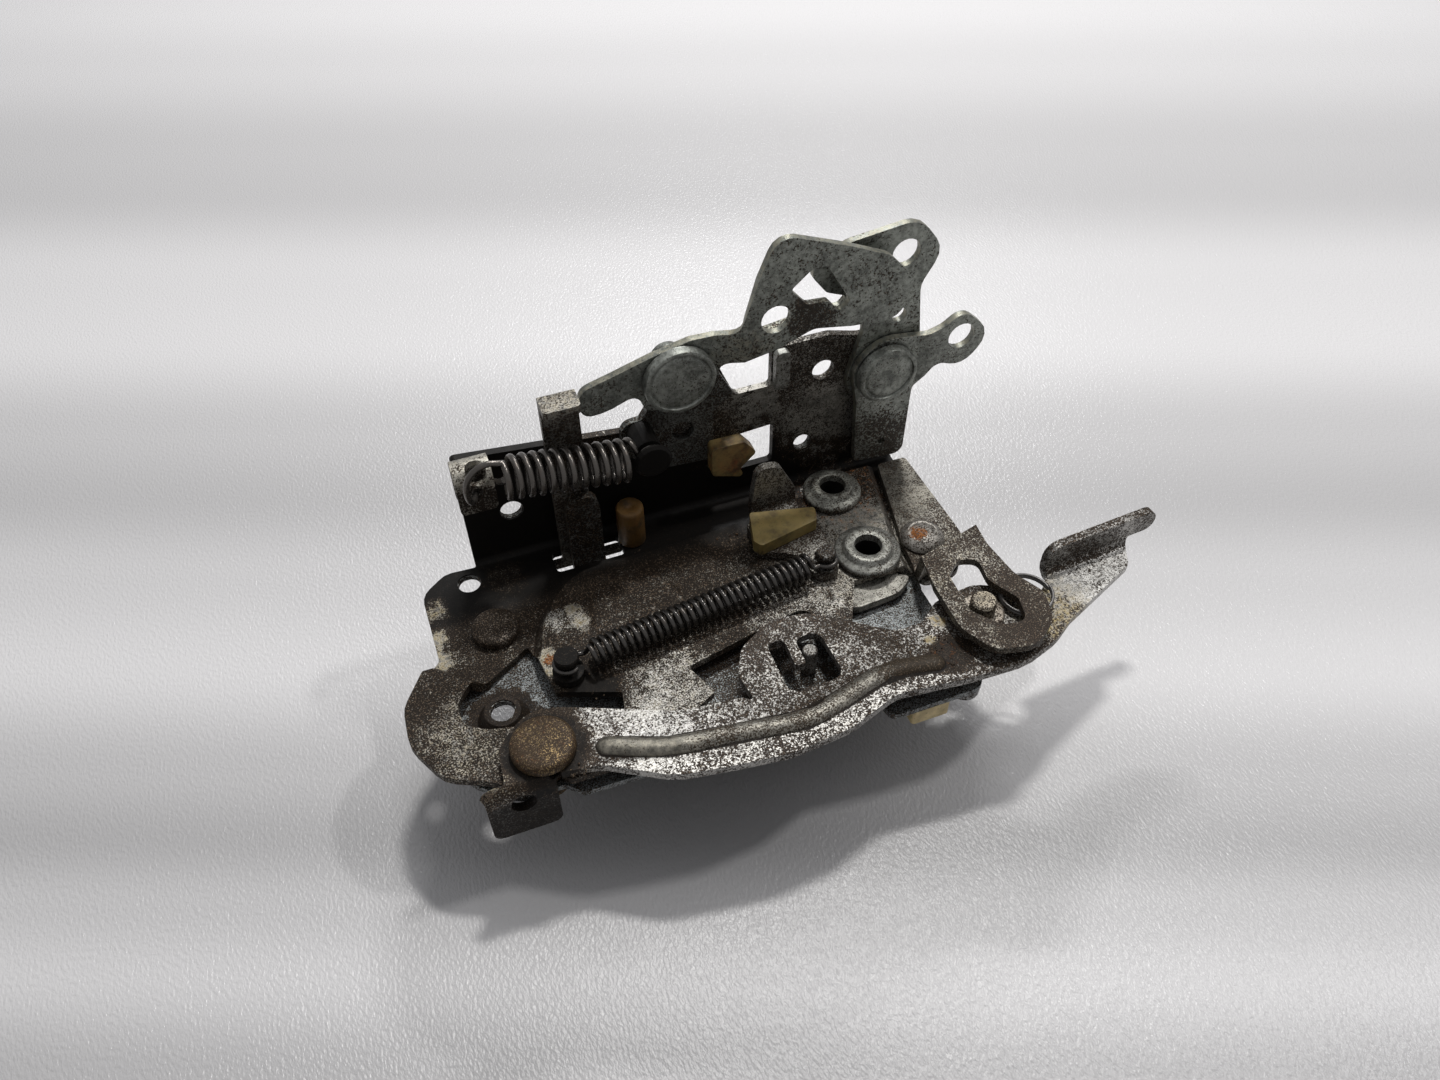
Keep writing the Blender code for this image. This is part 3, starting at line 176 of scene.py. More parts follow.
def metal_group(specks):
    """Zinc under grease, rust, pale flecks (partly painted glints) and black film (partly painted shade):
    colour, roughness, metal and relief from how much of each there is.
    """
    tree, given, out = new_group(
        "Old zinc",
        [("Zinc", "Color", (0.3, 0.3, 0.29, 1)), ("Film", "Color", (0.03, 0.022, 0.016, 1)),
         ("Grease", "Float", 0.5), ("Rust", "Float", 0.0), ("Bright", "Float", 0.0),
         ("Stain", "Float", 0.0), ("Soot_and_shade", "Float", 0.0), ("Scale", "Float", 2000.0)],
        [("Color", "Color"), ("Roughness", "Float"), ("Metallic", "Float"), ("Height", "Float")])
    zinc, film, grease, rust, flecks_and_glints, stain, soot_and_shade, scale = given.outputs[:8]
    vector = node(tree, "TexCoord").outputs["Object"]
    speck = node(tree, "Group", node_tree=specks)
    for value, label in ((vector, "Vector"), (grease, "Amount"), (scale, "Scale")):
        tree.links.new(value, speck.inputs[label])
    dirt, grain = speck.outputs
    cloud = noise(tree, vector, 150, 5, 0.65)
    mottle = noise(tree, vector, 850, 4, 0.72)
    fine = noise(tree, vector, 3400, 2, 0.6)
    shade = maths(tree, "ADD", maths(tree, "MULTIPLY", cloud, 0.9), maths(tree, "MULTIPLY", mottle, 1.1))
    light = node(tree, "Mix", data_type="RGBA", blend_type="MULTIPLY")
    light.inputs[0].default_value = 1.0
    tree.links.new(zinc, light.inputs[6])
    tone = node(tree, "CombineColor")
    for socket in tone.inputs:
        tree.links.new(ramp(tree, shade, 0.72, 1.28, 0.52, 1.5), socket)
    tree.links.new(tone.outputs[0], light.inputs[7])
    base = mix(tree, maths(tree, "MULTIPLY", stain, ramp(tree, mottle, 0.36, 0.6), True), light.outputs[2],
               (0.27, 0.215, 0.11))
    # Pale flecks: partly bare zinc, partly painted glints of the lamps
    fleck_and_glint_mask = maths(tree, "MULTIPLY", ramp(tree, fine, 0.4, 0.56), ramp(tree, mottle, 0.34, 0.52))
    base = mix(tree, maths(tree, "MULTIPLY", fleck_and_glint_mask, flecks_and_glints, True), base, (0.66, 0.65, 0.62))
    dark = mix(tree, ramp(tree, fine, 0.56, 0.66, 0.0, 0.75), film, (0.2, 0.145, 0.098))
    colour = mix(tree, dirt, base, dark)
    rusty = ramp(tree, maths(tree, "ADD", maths(tree, "MULTIPLY", maths(tree, "ADD", grain, mottle), 0.5),
                             maths(tree, "MULTIPLY", rust, 0.36)), 0.6, 0.74)
    rusty = maths(tree, "MULTIPLY", rusty, ramp(tree, rust, 0.02, 0.3), True)
    colour = mix(tree, rusty, colour, mix(tree, ramp(tree, fine, 0.35, 0.65), (0.1, 0.032, 0.012),
                                          (0.42, 0.17, 0.055)))
    rough = maths(tree, "ADD", maths(tree, "MULTIPLY", dirt, 0.06), maths(tree, "MULTIPLY", mottle, 0.3))
    rough = maths(tree, "ADD", maths(tree, "ADD", rough, 0.28), maths(tree, "MULTIPLY", rusty, 0.3), True)
    metal = maths(tree, "SUBTRACT", maths(tree, "SUBTRACT", 0.7, maths(tree, "MULTIPLY", dirt, 0.62)),
                  maths(tree, "MULTIPLY", rusty, 0.6), True)
    # Thick black film: partly real soot and grease, partly painted shade where spots and levels add it
    thick = ramp(tree, maths(tree, "ADD", soot_and_shade, maths(tree, "MULTIPLY", mottle, 0.5)), 0.4, 0.95)
    thick = maths(tree, "MULTIPLY", thick, ramp(tree, soot_and_shade, 0.0, 0.2), True)
    colour = mix(tree, thick, colour, (0.009, 0.008, 0.007))
    metal = maths(tree, "MULTIPLY", metal, maths(tree, "SUBTRACT", 1.0, thick, True))
    height = maths(tree, "ADD", maths(tree, "MULTIPLY", grain, 0.9), maths(tree, "MULTIPLY", fine, 0.25))
    for value, label in ((colour, "Color"), (rough, "Roughness"), (metal, "Metallic"), (height, "Height")):
        tree.links.new(value, out.inputs[label])
    return tree


SPECKS = speck_group()
SPOT = spot_group()
METAL = metal_group(SPECKS)


def start(name):
    """A new material, its nodes, and its Principled shader."""
    mat = bpy.data.materials.new(name)
    mat.use_nodes = True
    tree = mat.node_tree
    return mat, tree, tree.nodes["Principled BSDF"]


def level(tree, vector, axis, low, high):
    """A mask that grows along an axis between two places, in the lock's millimetres."""
    split = node(tree, "SeparateXYZ")
    tree.links.new(vector, split.inputs[0])
    index = "XYZ".index(axis)
    return ramp(tree, split.outputs[index], (low - HOME[index]) * MM, (high - HOME[index]) * MM)


def wall(tree, axis):
    """A mask of the cut edges of a sheet that faces along an axis."""
    split = node(tree, "SeparateXYZ")
    tree.links.new(node(tree, "TexCoord").outputs["Normal"], split.inputs[0])
    facing = maths(tree, "ABSOLUTE", split.outputs["XYZ".index(axis)])
    return ramp(tree, facing, 0.35, 0.7, 1.0, 0.0)


def metal(name, zinc=(0.3, 0.3, 0.29), grease=0.45, rust=0.0, flecks_and_glints=0.0, stain=0.0, scale=2700, spots=(),
          levels=(), film=(0.03, 0.022, 0.016), relief=0.35, walls=None, soot_and_shade=0.0):
    """An old zinc finish; spots, levels and walls each add to the amounts that they name."""
    mat, tree, shader = start(name)
    vector = node(tree, "TexCoord").outputs["Object"]
    amounts = {"Grease": grease, "Rust": rust, "Bright": flecks_and_glints, "Stain": stain, "Soot_and_shade": soot_and_shade}
    masks = []
    for x, y, z, radius, soft, adds in spots:
        spot = node(tree, "Group", node_tree=SPOT)
        tree.links.new(vector, spot.inputs["Vector"])
        spot.inputs["Place"].default_value = place(x, y, z)
        spot.inputs["Radius"].default_value = radius * MM
        spot.inputs["Soft"].default_value = soft * MM
        masks.append((spot.outputs[0], adds))
    for axis, low, high, adds in levels:
        masks.append((level(tree, vector, axis, low, high), adds))
    if walls:
        masks.append((wall(tree, walls[0]), walls[1]))
    for mask, adds in masks:
        for label, add in adds.items():
            amounts[label] = maths(tree, "ADD", maths(tree, "MULTIPLY", mask, add), amounts[label])
    group = node(tree, "Group", node_tree=METAL)
    group.inputs["Zinc"].default_value = (*zinc, 1)
    group.inputs["Film"].default_value = (*film, 1)
    group.inputs["Scale"].default_value = scale
    for label, value in amounts.items():
        feed(tree, value, group.inputs[label])
    tree.links.new(group.outputs["Color"], shader.inputs["Base Color"])
    tree.links.new(group.outputs["Roughness"], shader.inputs["Roughness"])
    tree.links.new(group.outputs["Metallic"], shader.inputs["Metallic"])
    shader.inputs["Specular IOR Level"].default_value = 0.12
    bump = node(tree, "Bump")
    bump.inputs["Strength"].default_value = relief
    bump.inputs["Distance"].default_value = RELIEF_DEPTH
    tree.links.new(group.outputs["Height"], bump.inputs["Height"])
    tree.links.new(bump.outputs[0], shader.inputs["Normal"])
    return mat


def wire_steel(name, colour=(0.035, 0.035, 0.036), shine=0.3):
    """Black oiled spring wire with dust in its grease."""
    mat, tree, shader = start(name)
    vector = node(tree, "TexCoord").outputs["Object"]
    cloud = noise(tree, vector, 700, 4, 0.7)
    colour = mix(tree, ramp(tree, cloud, 0.5, 0.75), colour, (0.12, 0.1, 0.085))
    tree.links.new(colour, shader.inputs["Base Color"])
    tree.links.new(ramp(tree, cloud, 0.3, 0.8, shine, shine + 0.3), shader.inputs["Roughness"])
    shader.inputs["Metallic"].default_value = 0.8
    return mat


def nylon(name, colour=(0.43, 0.29, 0.1), dirt=0.45):
    """Aged yellow plastic, matt, with dark grease in patches and specks."""
    mat, tree, shader = start(name)
    vector = node(tree, "TexCoord").outputs["Object"]
    cloud = noise(tree, vector, 260, 5, 0.65)
    fine = noise(tree, vector, 1900, 3, 0.7)
    shade = mix(tree, ramp(tree, cloud, 0.3, 0.7), colour, tuple(c * 0.6 for c in colour))
    shade = mix(tree, ramp(tree, cloud, 0.62 - 0.3 * dirt, 0.9 - 0.3 * dirt), shade, (0.06, 0.04, 0.02))
    shade = mix(tree, ramp(tree, fine, 0.6, 0.7, 0.0, 0.7), shade, (0.07, 0.045, 0.025))
    tree.links.new(shade, shader.inputs["Base Color"])
    tree.links.new(ramp(tree, cloud, 0.3, 0.7, 0.42, 0.62), shader.inputs["Roughness"])
    shader.inputs["Subsurface Weight"].default_value = 0.04
    bump = node(tree, "Bump")
    bump.inputs["Strength"].default_value = 0.2
    bump.inputs["Distance"].default_value = RELIEF_DEPTH
    tree.links.new(fine, bump.inputs["Height"])
    tree.links.new(bump.outputs[0], shader.inputs["Normal"])
    return mat


# Finishes of the CAD pieces: films of old grease, shades of zinc, and what the cut edges of a sheet add;
# some spots and levels also paint shade and glints

DARK = (0.018, 0.013, 0.009)
BLACK = (0.012, 0.011, 0.01)
THIN_FILM = (0.045, 0.038, 0.03)
RIVET_FILM = (0.06, 0.055, 0.045)
GREY = (0.27, 0.28, 0.265)
GREEN = (0.25, 0.262, 0.235)
CUT = ("Z", {"Grease": -0.1, "Stain": -0.2, "Bright": -0.2})
CUT_Y = ("Y", {"Grease": -0.12, "Stain": 0.35})

# In spots: x, y, z, radius and soft rim in the lock's millimetres, then what the spot adds
FINISHES = {
    "bracket": metal(
        "Bracket", (0.25, 0.24, 0.215), grease=0.72, flecks_and_glints=0.35, stain=0.4, scale=2900, film=DARK,
        levels=[("Z", 5, 14, {"Stain": -0.35, "Bright": -0.35, "Grease": 0.04}),
                ("Y", -25, -12, {"Grease": 0.2, "Stain": -0.3, "Bright": -0.2, "Soot_and_shade": 0.62})],
        spots=[(-10.4, -12, 0, 1.6, 2.6, {"Grease": -0.42, "Stain": 0.8, "Soot_and_shade": -0.6}),
               (-11.8, -19.5, 0, 1.3, 2.2, {"Grease": -0.42, "Stain": 0.8, "Soot_and_shade": -0.6}),
               (-11.8, -26.6, 0, 1.3, 2.4, {"Grease": -0.4, "Stain": 0.8, "Soot_and_shade": -0.4}),
               (2, -31, 3, 1.5, 3, {"Grease": -0.16, "Stain": 0.3}),
               (6.5, -8, 3, 3.5, 4, {"Grease": -0.2, "Stain": 0.3, "Soot_and_shade": -0.2}),
               (-9, -50, 0, 6, 8, {"Grease": -0.16, "Stain": 0.3}),
               (13.4, -26.2, 3, 1.6, 3.4, {"Grease": -0.2, "Stain": 0.4, "Bright": 0.5, "Soot_and_shade": -0.3}),
               (18.6, -28.2, 3, 1.0, 2.6, {"Grease": -0.4, "Stain": 1.0, "Bright": 0.3, "Soot_and_shade": -0.5}),
               (17.6, -24.6, 3, 0.6, 2.0, {"Grease": -0.4, "Stain": 1.1, "Soot_and_shade": -0.5}),
               # Below the panel stud: grease, and a painted shadow of the spring and stud in black film
               (15.5, -47.5, 3, 4, 4.5, {"Grease": 0.2, "Bright": -0.3, "Soot_and_shade": 0.55}),
               (9.2, -36.6, 3, 2.6, 2.0, {"Grease": -0.36, "Stain": 1.0, "Bright": 0.1}),
               (9.8, -36.2, 3, 0.5, 1.8, {"Grease": 0.25, "Rust": 0.62}),
               (34, -57, 3, 8, 8, {"Grease": -0.22, "Bright": 0.25}),
               (22, -48, 3, 6, 9, {"Grease": -0.04, "Bright": 0.2}),
               (60, -28, 3, 5, 6, {"Grease": -0.06, "Soot_and_shade": -0.5}),
               (62, -44, 3, 7, 7, {"Grease": -0.16, "Bright": 0.3, "Soot_and_shade": -0.5}),
               (86, -34, 3, 13, 6, {"Grease": -0.22, "Soot_and_shade": -0.6}),
               (88, -14, 3, 9, 6, {"Grease": -0.26, "Rust": 0.25, "Soot_and_shade": -0.75}),
               (90, -1.5, 34, 20, 9, {"Grease": -0.36, "Soot_and_shade": -0.9}),
               (88, -1.5, 16, 8, 8, {"Grease": -0.2, "Soot_and_shade": -0.6}),
               (60, -1.5, 27, 9, 8, {"Grease": -0.36, "Soot_and_shade": -0.75}),
               (34, -1.5, 36, 9, 6, {"Grease": -0.25, "Soot_and_shade": -0.7})]
        + [(x, -0.6, z, 1.0, 0.8, {"Grease": -0.6, "Stain": 0.8, "Soot_and_shade": -1.2, "Rust": r}) for x, z, r in (
            (9.5, 34.2, 0.25), (12.5, 34.2, 0.3), (15.5, 34.2, 0.1), (18.5, 34.2, 0.2), (27.5, 34.2, 0.0),
            (30.5, 34.3, 0.0), (33.5, 34.6, 0.0))]),
    "ribbed_lever": metal(
        "Ribbed_lever", (0.33, 0.32, 0.3), grease=0.6, flecks_and_glints=0.8, stain=0.15, scale=2600, walls=CUT,
        # A dark line round the rib's foot: grease, and painted shade in the groove there
        levels=[("Z", 5.31, 5.4, {"Grease": 0.2, "Bright": -1.2, "Soot_and_shade": 0.5})],
        spots=[(87.6, -66.4, 5.3, 3.4, 2.4, {"Grease": 0.34, "Rust": 0.22, "Bright": -0.9, "Soot_and_shade": 0.4}),
               (89, -57.8, 5.3, 0.9, 1.7, {"Grease": -0.3, "Stain": 1.0, "Rust": 0.2, "Bright": -0.7}),
               (85, -61.6, 5.3, 0.5, 1.5, {"Grease": -0.3, "Stain": 1.0, "Bright": -0.7}),
               (23, -59, 5.3, 9, 8, {"Grease": -0.12, "Bright": 0.1}),
               (30, -72, 3, 9, 6, {"Grease": -0.05}),
               (60, -50, 5, 8, 7, {"Grease": 0.04, "Bright": -0.25}),
               # Round the lever rivet's head: grease, and a painted shade ring beside the head
               (2.7, -58.4, 5, 7.6, 2, {"Grease": 0.3, "Bright": -0.6, "Soot_and_shade": 0.5}),
               (-9, -60, 2, 19, 5, {"Bright": -0.8, "Stain": 0.5, "Grease": 0.14}),
               (-15, -44, 2, 2, 5, {"Grease": -0.28, "Stain": 0.3}),
               (-9, -60, 2, 1, 5, {"Grease": -0.28, "Stain": 0.3}),
               (-4, -67, -8, 9, 3, {"Grease": -0.02, "Stain": -0.75, "Bright": -0.6, "Soot_and_shade": 0.52}),
               (114, -62, 5, 6, 7, {"Grease": -0.1, "Stain": 0.9, "Bright": -0.65}),
               (100, -68, 5, 9, 6, {"Bright": -0.3}),
               (132, -54, 11, 15, 4, {"Grease": -0.18, "Bright": 0.3, "Stain": -0.6, "Soot_and_shade": -0.5})]),
    "slotted_link": metal(
        "Slotted_link", (0.17, 0.16, 0.135), grease=0.62, flecks_and_glints=0.3, stain=0.25, scale=2800, walls=CUT,
        spots=[(100, -10, 2, 14, 5, {"Grease": -0.16, "Stain": -0.75, "Bright": -0.3}),
               (92, -47, 9, 6, 6, {"Grease": -0.02, "Stain": 0.2}),
               (106, -66, 9, 8, 8, {"Grease": 0.1, "Bright": -0.2})]),
    "handle_lever": metal(
        "Handle_lever", GREEN, grease=0.36, scale=2100, film=THIN_FILM, relief=0.6, walls=CUT_Y,
        spots=[(79, -7, 53, 4, 5, {"Grease": 0.3, "Soot_and_shade": 0.3}),
               (64, -7, 47, 3, 5, {"Stain": 0.3, "Grease": 0.1})]),
    "rear_lever": metal("Rear_lever", (0.15, 0.155, 0.145), grease=0.5, scale=2200, film=DARK),
    "tall_eye_lever": metal("Tall_eye_lever", GREEN, grease=0.36, scale=2100, film=THIN_FILM,
                            walls=CUT_Y, spots=[(75, -3.5, 47, 6, 4, {"Grease": 0.25, "Rust": 0.1})]),
    "side_eye_lever": metal("Side_eye_lever", (0.24, 0.25, 0.225), grease=0.36, scale=2100,
                            film=THIN_FILM, walls=CUT_Y,
                            spots=[(100, -5, 8, 8, 6, {"Grease": 0.2})]),
    "lower_plate": metal("Lower_plate", (0.2, 0.225, 0.232), grease=0.5, flecks_and_glints=0.35, scale=2900,
                         # Under the boss hole: grease, and painted shade deep in the hole
                         spots=[(-2.6, -43.6, 0, 6, 3, {"Grease": 0.4, "Bright": -0.4, "Soot_and_shade": 0.4}),
                                (50, -58, 0, 14, 6, {"Grease": 0.14})]),
    "latch_case": metal("Latch_case", (0.17, 0.17, 0.155), grease=0.42, scale=2100),
    "left_rivet": metal("Left_rivet", (0.2, 0.17, 0.14), grease=0.68, rust=0.03, scale=2900, film=DARK),
    "lever_rivet": metal("Lever_rivet", (0.24, 0.165, 0.08), grease=0.66, rust=0.16, stain=0.35, scale=3200,
                         film=(0.045, 0.03, 0.018)),
    "link_rivet": metal("Link_rivet", (0.3, 0.28, 0.25), grease=0.44, flecks_and_glints=0.15, scale=2900,
                        spots=[(97.2, -33, 5, 1.3, 1.8, {"Rust": 0.55, "Grease": 0.1})]),
    "handle_rivet": metal("Handle_rivet", (0.26, 0.27, 0.245), grease=0.3, scale=2600, film=RIVET_FILM),
    "eye_rivet": metal("Eye_rivet", (0.24, 0.25, 0.225), grease=0.32, scale=2600, film=RIVET_FILM),
    # The black film in the collar's bore is painted shade deep in the hole
    "far_collar": metal("Far_collar", (0.23, 0.23, 0.2), grease=0.42, flecks_and_glints=0.06, scale=2800,
                        levels=[("Z", 4.6, 3.2, {"Grease": 0.3})],
                        spots=[(84.8, -12.8, 1.0, 4.4, 0.3, {"Soot_and_shade": 1.5})]),
    # The black film in the collar's bore is painted shade deep in the hole
    "near_collar": metal("Near_collar", (0.25, 0.25, 0.225), grease=0.4, flecks_and_glints=0.06, scale=2800,
                         levels=[("Z", 4.6, 3.2, {"Grease": 0.3})],
                         spots=[(84.3, -33.2, 1.0, 4.4, 0.3, {"Soot_and_shade": 1.5}),
                                (84.3, -33.2, -8, 9, 3, {"Soot_and_shade": 1.5})]),
    "lock_post": metal("Lock_post", (0.17, 0.165, 0.15), grease=0.52, stain=0.1, scale=2300,
                       levels=[("Z", 44.6, 45.8, {"Grease": -0.1, "Stain": 0.3, "Bright": 0.2})]),
    "lock_link": metal("Lock_link", (0.15, 0.15, 0.14), grease=0.6, scale=2300, film=DARK),
    "anchor_tab": metal("Anchor_tab", (0.45, 0.43, 0.37), grease=0.4, stain=0.35, flecks_and_glints=0.4, scale=2300,
                        spots=[(4.4, -8, 23, 6, 3, {"Grease": 0.2, "Soot_and_shade": 0.4})]),
    "window_tab": metal("Window_tab", (0.24, 0.24, 0.22), grease=0.4, scale=2300),
    "release_arm": metal("Release_arm", (0.26, 0.25, 0.22), grease=0.6, flecks_and_glints=0.2, scale=2800,
                         levels=[("Z", 7, 12, {"Bright": 0.15, "Grease": -0.15})]),
    "panel_stud": metal("Panel_stud", (0.07, 0.07, 0.07), grease=0.7, scale=2300, film=BLACK, soot_and_shade=0.5),
    "handle_stud": metal("Handle_stud", (0.05, 0.05, 0.05), grease=0.75, scale=2300, film=BLACK, soot_and_shade=0.7),
    "arm_stud": metal("Arm_stud", (0.24, 0.24, 0.23), grease=0.6, scale=2800, film=DARK),
    "slot_pin": metal("Slot_pin", (0.32, 0.29, 0.24), grease=0.5, stain=0.3, scale=2900),
    "slot_washer": metal("Slot_washer", (0.28, 0.24, 0.19), grease=0.5, rust=0.1, flecks_and_glints=0.2, scale=2900),
    "cam_pin": metal("Cam_pin", (0.24, 0.235, 0.22), grease=0.45, scale=3200),
    "stop_bush": metal("Stop_bush", (0.28, 0.28, 0.27), grease=0.4, scale=2300),
    "arm_rivet": metal("Arm_rivet", GREY, grease=0.6, scale=2300),
    "fork_bolt": metal("Fork_bolt", GREY, grease=0.4, scale=2100),
    "fork_pin": metal("Fork_pin", GREY, grease=0.35, scale=2100),
    "pawl": metal("Pawl", GREY, grease=0.45, scale=2100),
    "pawl_hub": metal("Pawl_hub", GREY, grease=0.4, scale=2100),
    "pawl_lever": metal("Pawl_lever", (0.3, 0.29, 0.255), grease=0.4, flecks_and_glints=0.12, scale=2800),
    "pawl_ring": wire_steel("Pawl_ring"),
    "lower_spring": wire_steel("Lower_spring", (0.085, 0.08, 0.075), 0.14),
    "upper_spring": wire_steel("Upper_spring", (0.12, 0.11, 0.1), 0.2),
    "link_spring": wire_steel("Link_spring", (0.16, 0.155, 0.15)),
    "fork_spring": wire_steel("Fork_spring"),
    "pawl_spring": wire_steel("Pawl_spring"),
    "nylon_wedge": nylon("Nylon_wedge", (0.27, 0.195, 0.06), 0.3),
    "rubber_buffer": nylon("Rubber_buffer", (0.2, 0.105, 0.03), 0.5),
    "window_clip": nylon("Window_clip", (0.3, 0.21, 0.08), 0.7),
    # Its pale cream is raised further as painted light, where the block sits in shade
    "bumper_block": nylon("Bumper_block", (0.8, 0.64, 0.34), 0.08),
}

# Pieces with cut or moulded edges, which are rounded a little
PRESSED = {"bracket", "lower_plate", "ribbed_lever", "slotted_link", "handle_lever", "release_arm",
           "anchor_tab", "rear_lever", "tall_eye_lever", "side_eye_lever", "lock_post", "lock_link",
           "window_tab", "pawl_lever", "nylon_wedge", "window_clip", "bumper_block", "latch_case",
           "fork_bolt", "pawl"}


def dress():
    """Gives each CAD piece its finish, and softens the cut edges of the sheet pieces."""
    for name, obj in NODES.items():
        obj.data.materials.clear()
        obj.data.materials.append(FINISHES[name])
        if name in PRESSED:
            weld = obj.modifiers.new("Weld", "WELD")
            weld.merge_threshold = WELD_DISTANCE
            edge = obj.modifiers.new("Edge", "BEVEL")
            edge.width = EDGE_WIDTH
            edge.segments = 2
            edge.limit_method = "ANGLE"
            edge.angle_limit = CUT_ANGLE
            edge.harden_normals = False
            smooth = obj.modifiers.new("Normals", "WEIGHTED_NORMAL")
            smooth.keep_sharp = False


# Fine pieces


def select_none():
    bpy.ops.object.select_all(action="DESELECT")


def add(name, mesh, finish, body, stands_for=()):
    """A new object with its finish, on a body if one is given."""
    obj = bpy.data.objects.new(name, mesh)
    bpy.context.scene.collection.objects.link(obj)
    mesh.materials.append(finish)
    if body:
        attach(obj, body)
    if stands_for:
        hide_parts(*stands_for)
    return obj


def as_mesh(obj):
    """Turns a wire into a mesh."""
    select_none()
    obj.select_set(True)
    bpy.context.view_layer.objects.active = obj
    bpy.ops.object.convert(target="MESH")
    return bpy.context.object


def wire(name, points, thickness, finish, body, stands_for=(), sides=3):
    """A round wire along points in the lock's millimetres."""
    curve = bpy.data.curves.new(name, "CURVE")
    curve.dimensions = "3D"
    curve.bevel_depth = thickness / 2 * MM
    curve.bevel_resolution = sides
    curve.use_fill_caps = True
    spline = curve.splines.new("POLY")
    spline.points.add(len(points) - 1)
    for point, co in zip(spline.points, points):
        point.co = (*place(*co), 1)
    spline.use_smooth = True
    return add(name, curve, finish, body, stands_for)


def coil(start, end, radius, turns, count, uneven=0.0):
    """Points of a helix; its pitch may vary a little along it."""
    start, end = Vector(start), Vector(end)
    way = (end - start).normalized()
    side = way.cross(Vector((0, 0, 1))).normalized()
    up = side.cross(way)
    out = []
    for i in range(turns * count + 1):
        t = i / (turns * count)
        along = t + uneven * math.sin(math.tau * t * 1.5) / math.tau
        a = math.tau * i / count
        out.append(start.lerp(end, along) + radius * (math.cos(a) * up + math.sin(a) * side))
    return out


def smooth_path(points, steps=5):
    """Catmull-Rom curve through points."""
    pts = [Vector(p) for p in points]
    ext = [2 * pts[0] - pts[1]] + pts + [2 * pts[-1] - pts[-2]]
    out = []
    for a, b, c, d in zip(ext, ext[1:], ext[2:], ext[3:]):
        for k in range(steps):
            t = k / steps
            out.append(0.5 * (2 * b + (c - a) * t + (2 * a - 5 * b + 4 * c - d) * t * t
                              + (3 * b - a - 3 * c + d) * t ** 3))
    return out + [pts[-1]]


def turned(name, rings, centre, facing, finish, body, stands_for, bored=False, sides=64):
    """A turned piece: a disc or hoop extruded from ring to ring, (radius, height) in millimetres."""
    select_none()
    (radius, height), rest = rings[0], rings[1:]
    bpy.ops.mesh.primitive_circle_add(vertices=sides, radius=radius * MM, location=(0, 0, height * MM),
                                      fill_type="NOTHING" if bored else "NGON")
    obj = bpy.context.object
    obj.name = obj.data.name = name
    bpy.ops.object.transform_apply(location=True)
    bpy.ops.object.mode_set(mode="EDIT")
    bpy.ops.mesh.select_all(action="SELECT")
    for r, h in rest + (rings[:1] if bored else []):
        bpy.ops.mesh.extrude_region_move(TRANSFORM_OT_translate={"value": (0, 0, (h - height) * MM)})
        bpy.ops.transform.resize(value=(r / radius, r / radius, 1), center_override=(0, 0, 0))
        radius, height = r, h
    bpy.ops.mesh.select_all(action="SELECT")
    bpy.ops.mesh.remove_doubles(threshold=0.000001)
    bpy.ops.mesh.normals_make_consistent(inside=False)
    bpy.ops.object.mode_set(mode="OBJECT")
    if facing == "-Y":
        obj.rotation_euler[0] = math.radians(90)
    obj.location = place(*centre)
    bpy.ops.object.transform_apply(location=True, rotation=True)
    bpy.ops.object.shade_smooth_by_angle(angle=SMOOTH_ANGLE)
    obj.data.materials.append(finish)
    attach(obj, body)
    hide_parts(*stands_for)
    return obj


def arc(centre, radius, u, v, degrees):
    """Points round a centre, at angles measured from u towards v."""
    angles = [math.radians(a) for a in degrees]
    return [centre + radius * (math.cos(a) * u + math.sin(a) * v) for a in angles]


def lower_spring():
    """The long spring from the panel stud to the release arm's stud."""
    stud, arm = Vector((12.3, -41.6, 7.35)), Vector((73.2, -34.5, 7.35))
    way = (arm - stud).normalized()
    side = Vector((0, 0, 1)).cross(way)
    first, last = stud + way * 5.2, arm - way * 4.7
    eye_l = arc(stud, 2.55, way, side, range(300, 29, -15))
    eye_r = arc(arm, -2.35, way, side, range(30, 301, 15))
    body = coil(first, last, radius=2.5, turns=32, count=24, uneven=0.02)
    lead_l = smooth_path([eye_l[-1], first - way * 0.9 + side * 0.9, body[0]])[1:-1]
    lead_r = smooth_path([body[-1], last + way * 0.9 - side * 0.9, eye_r[0]])[1:-1]
    spring = as_mesh(wire("lower_spring_wire", eye_l + lead_l + body + lead_r + eye_r, 1.15,
                          FINISHES["lower_spring"], None))
    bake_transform(spring)
    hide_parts("lower_spring")


def upper_spring():
    """The wider spring from its hook in the anchor tab to the handle lever's stud."""
    y = -12.2
    start, stop = Vector((9.9, y, 34.0)), Vector((36.8, y, 30.1))
    hook = smooth_path([
        (10.2, -11.0, 32.4), (9.8, -9.3, 30.5), (8.5, -7.4, 29.2), (6.6, -6.2, 28.6), (5.1, -6.4, 28.3),
        (4.3, -7.7, 28.1), (3.7, -9.7, 28.0), (2.9, -11.5, 28.9), (2.3, -12.4, 31.2), (2.3, -12.5, 34.0),
        (3.3, -12.5, 36.6), (5.3, -12.4, 38.4), (7.7, -12.3, 38.9)], 4)
    body = coil(start, stop, radius=4.15, turns=12, count=26, uneven=0.03)
    ring = arc(Vector((41.4, y, 29.3)), 2.5, Vector((1, 0, 0)), Vector((0, 0, 1)), range(160, -151, -15))
    spring = as_mesh(wire("upper_spring_wire", hook + body + ring, 1.35, FINISHES["upper_spring"], None))
    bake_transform(spring)
    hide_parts("upper_spring")


def link_spring():
    """The small torsion spring beside the slotted link."""
    angles = range(0, 721, 12)
    flat = arc(Vector((109.3, -58.9, 5.95)), 5.6, Vector((1, 0, 0)), Vector((0, 1, 0)), angles)
    turns = [point + Vector((0, 0, a / 480)) for point, a in zip(flat, angles)]
    wire("link_spring_wire", turns, 0.62, FINISHES["link_spring"], "ribbed", ("link_spring",))


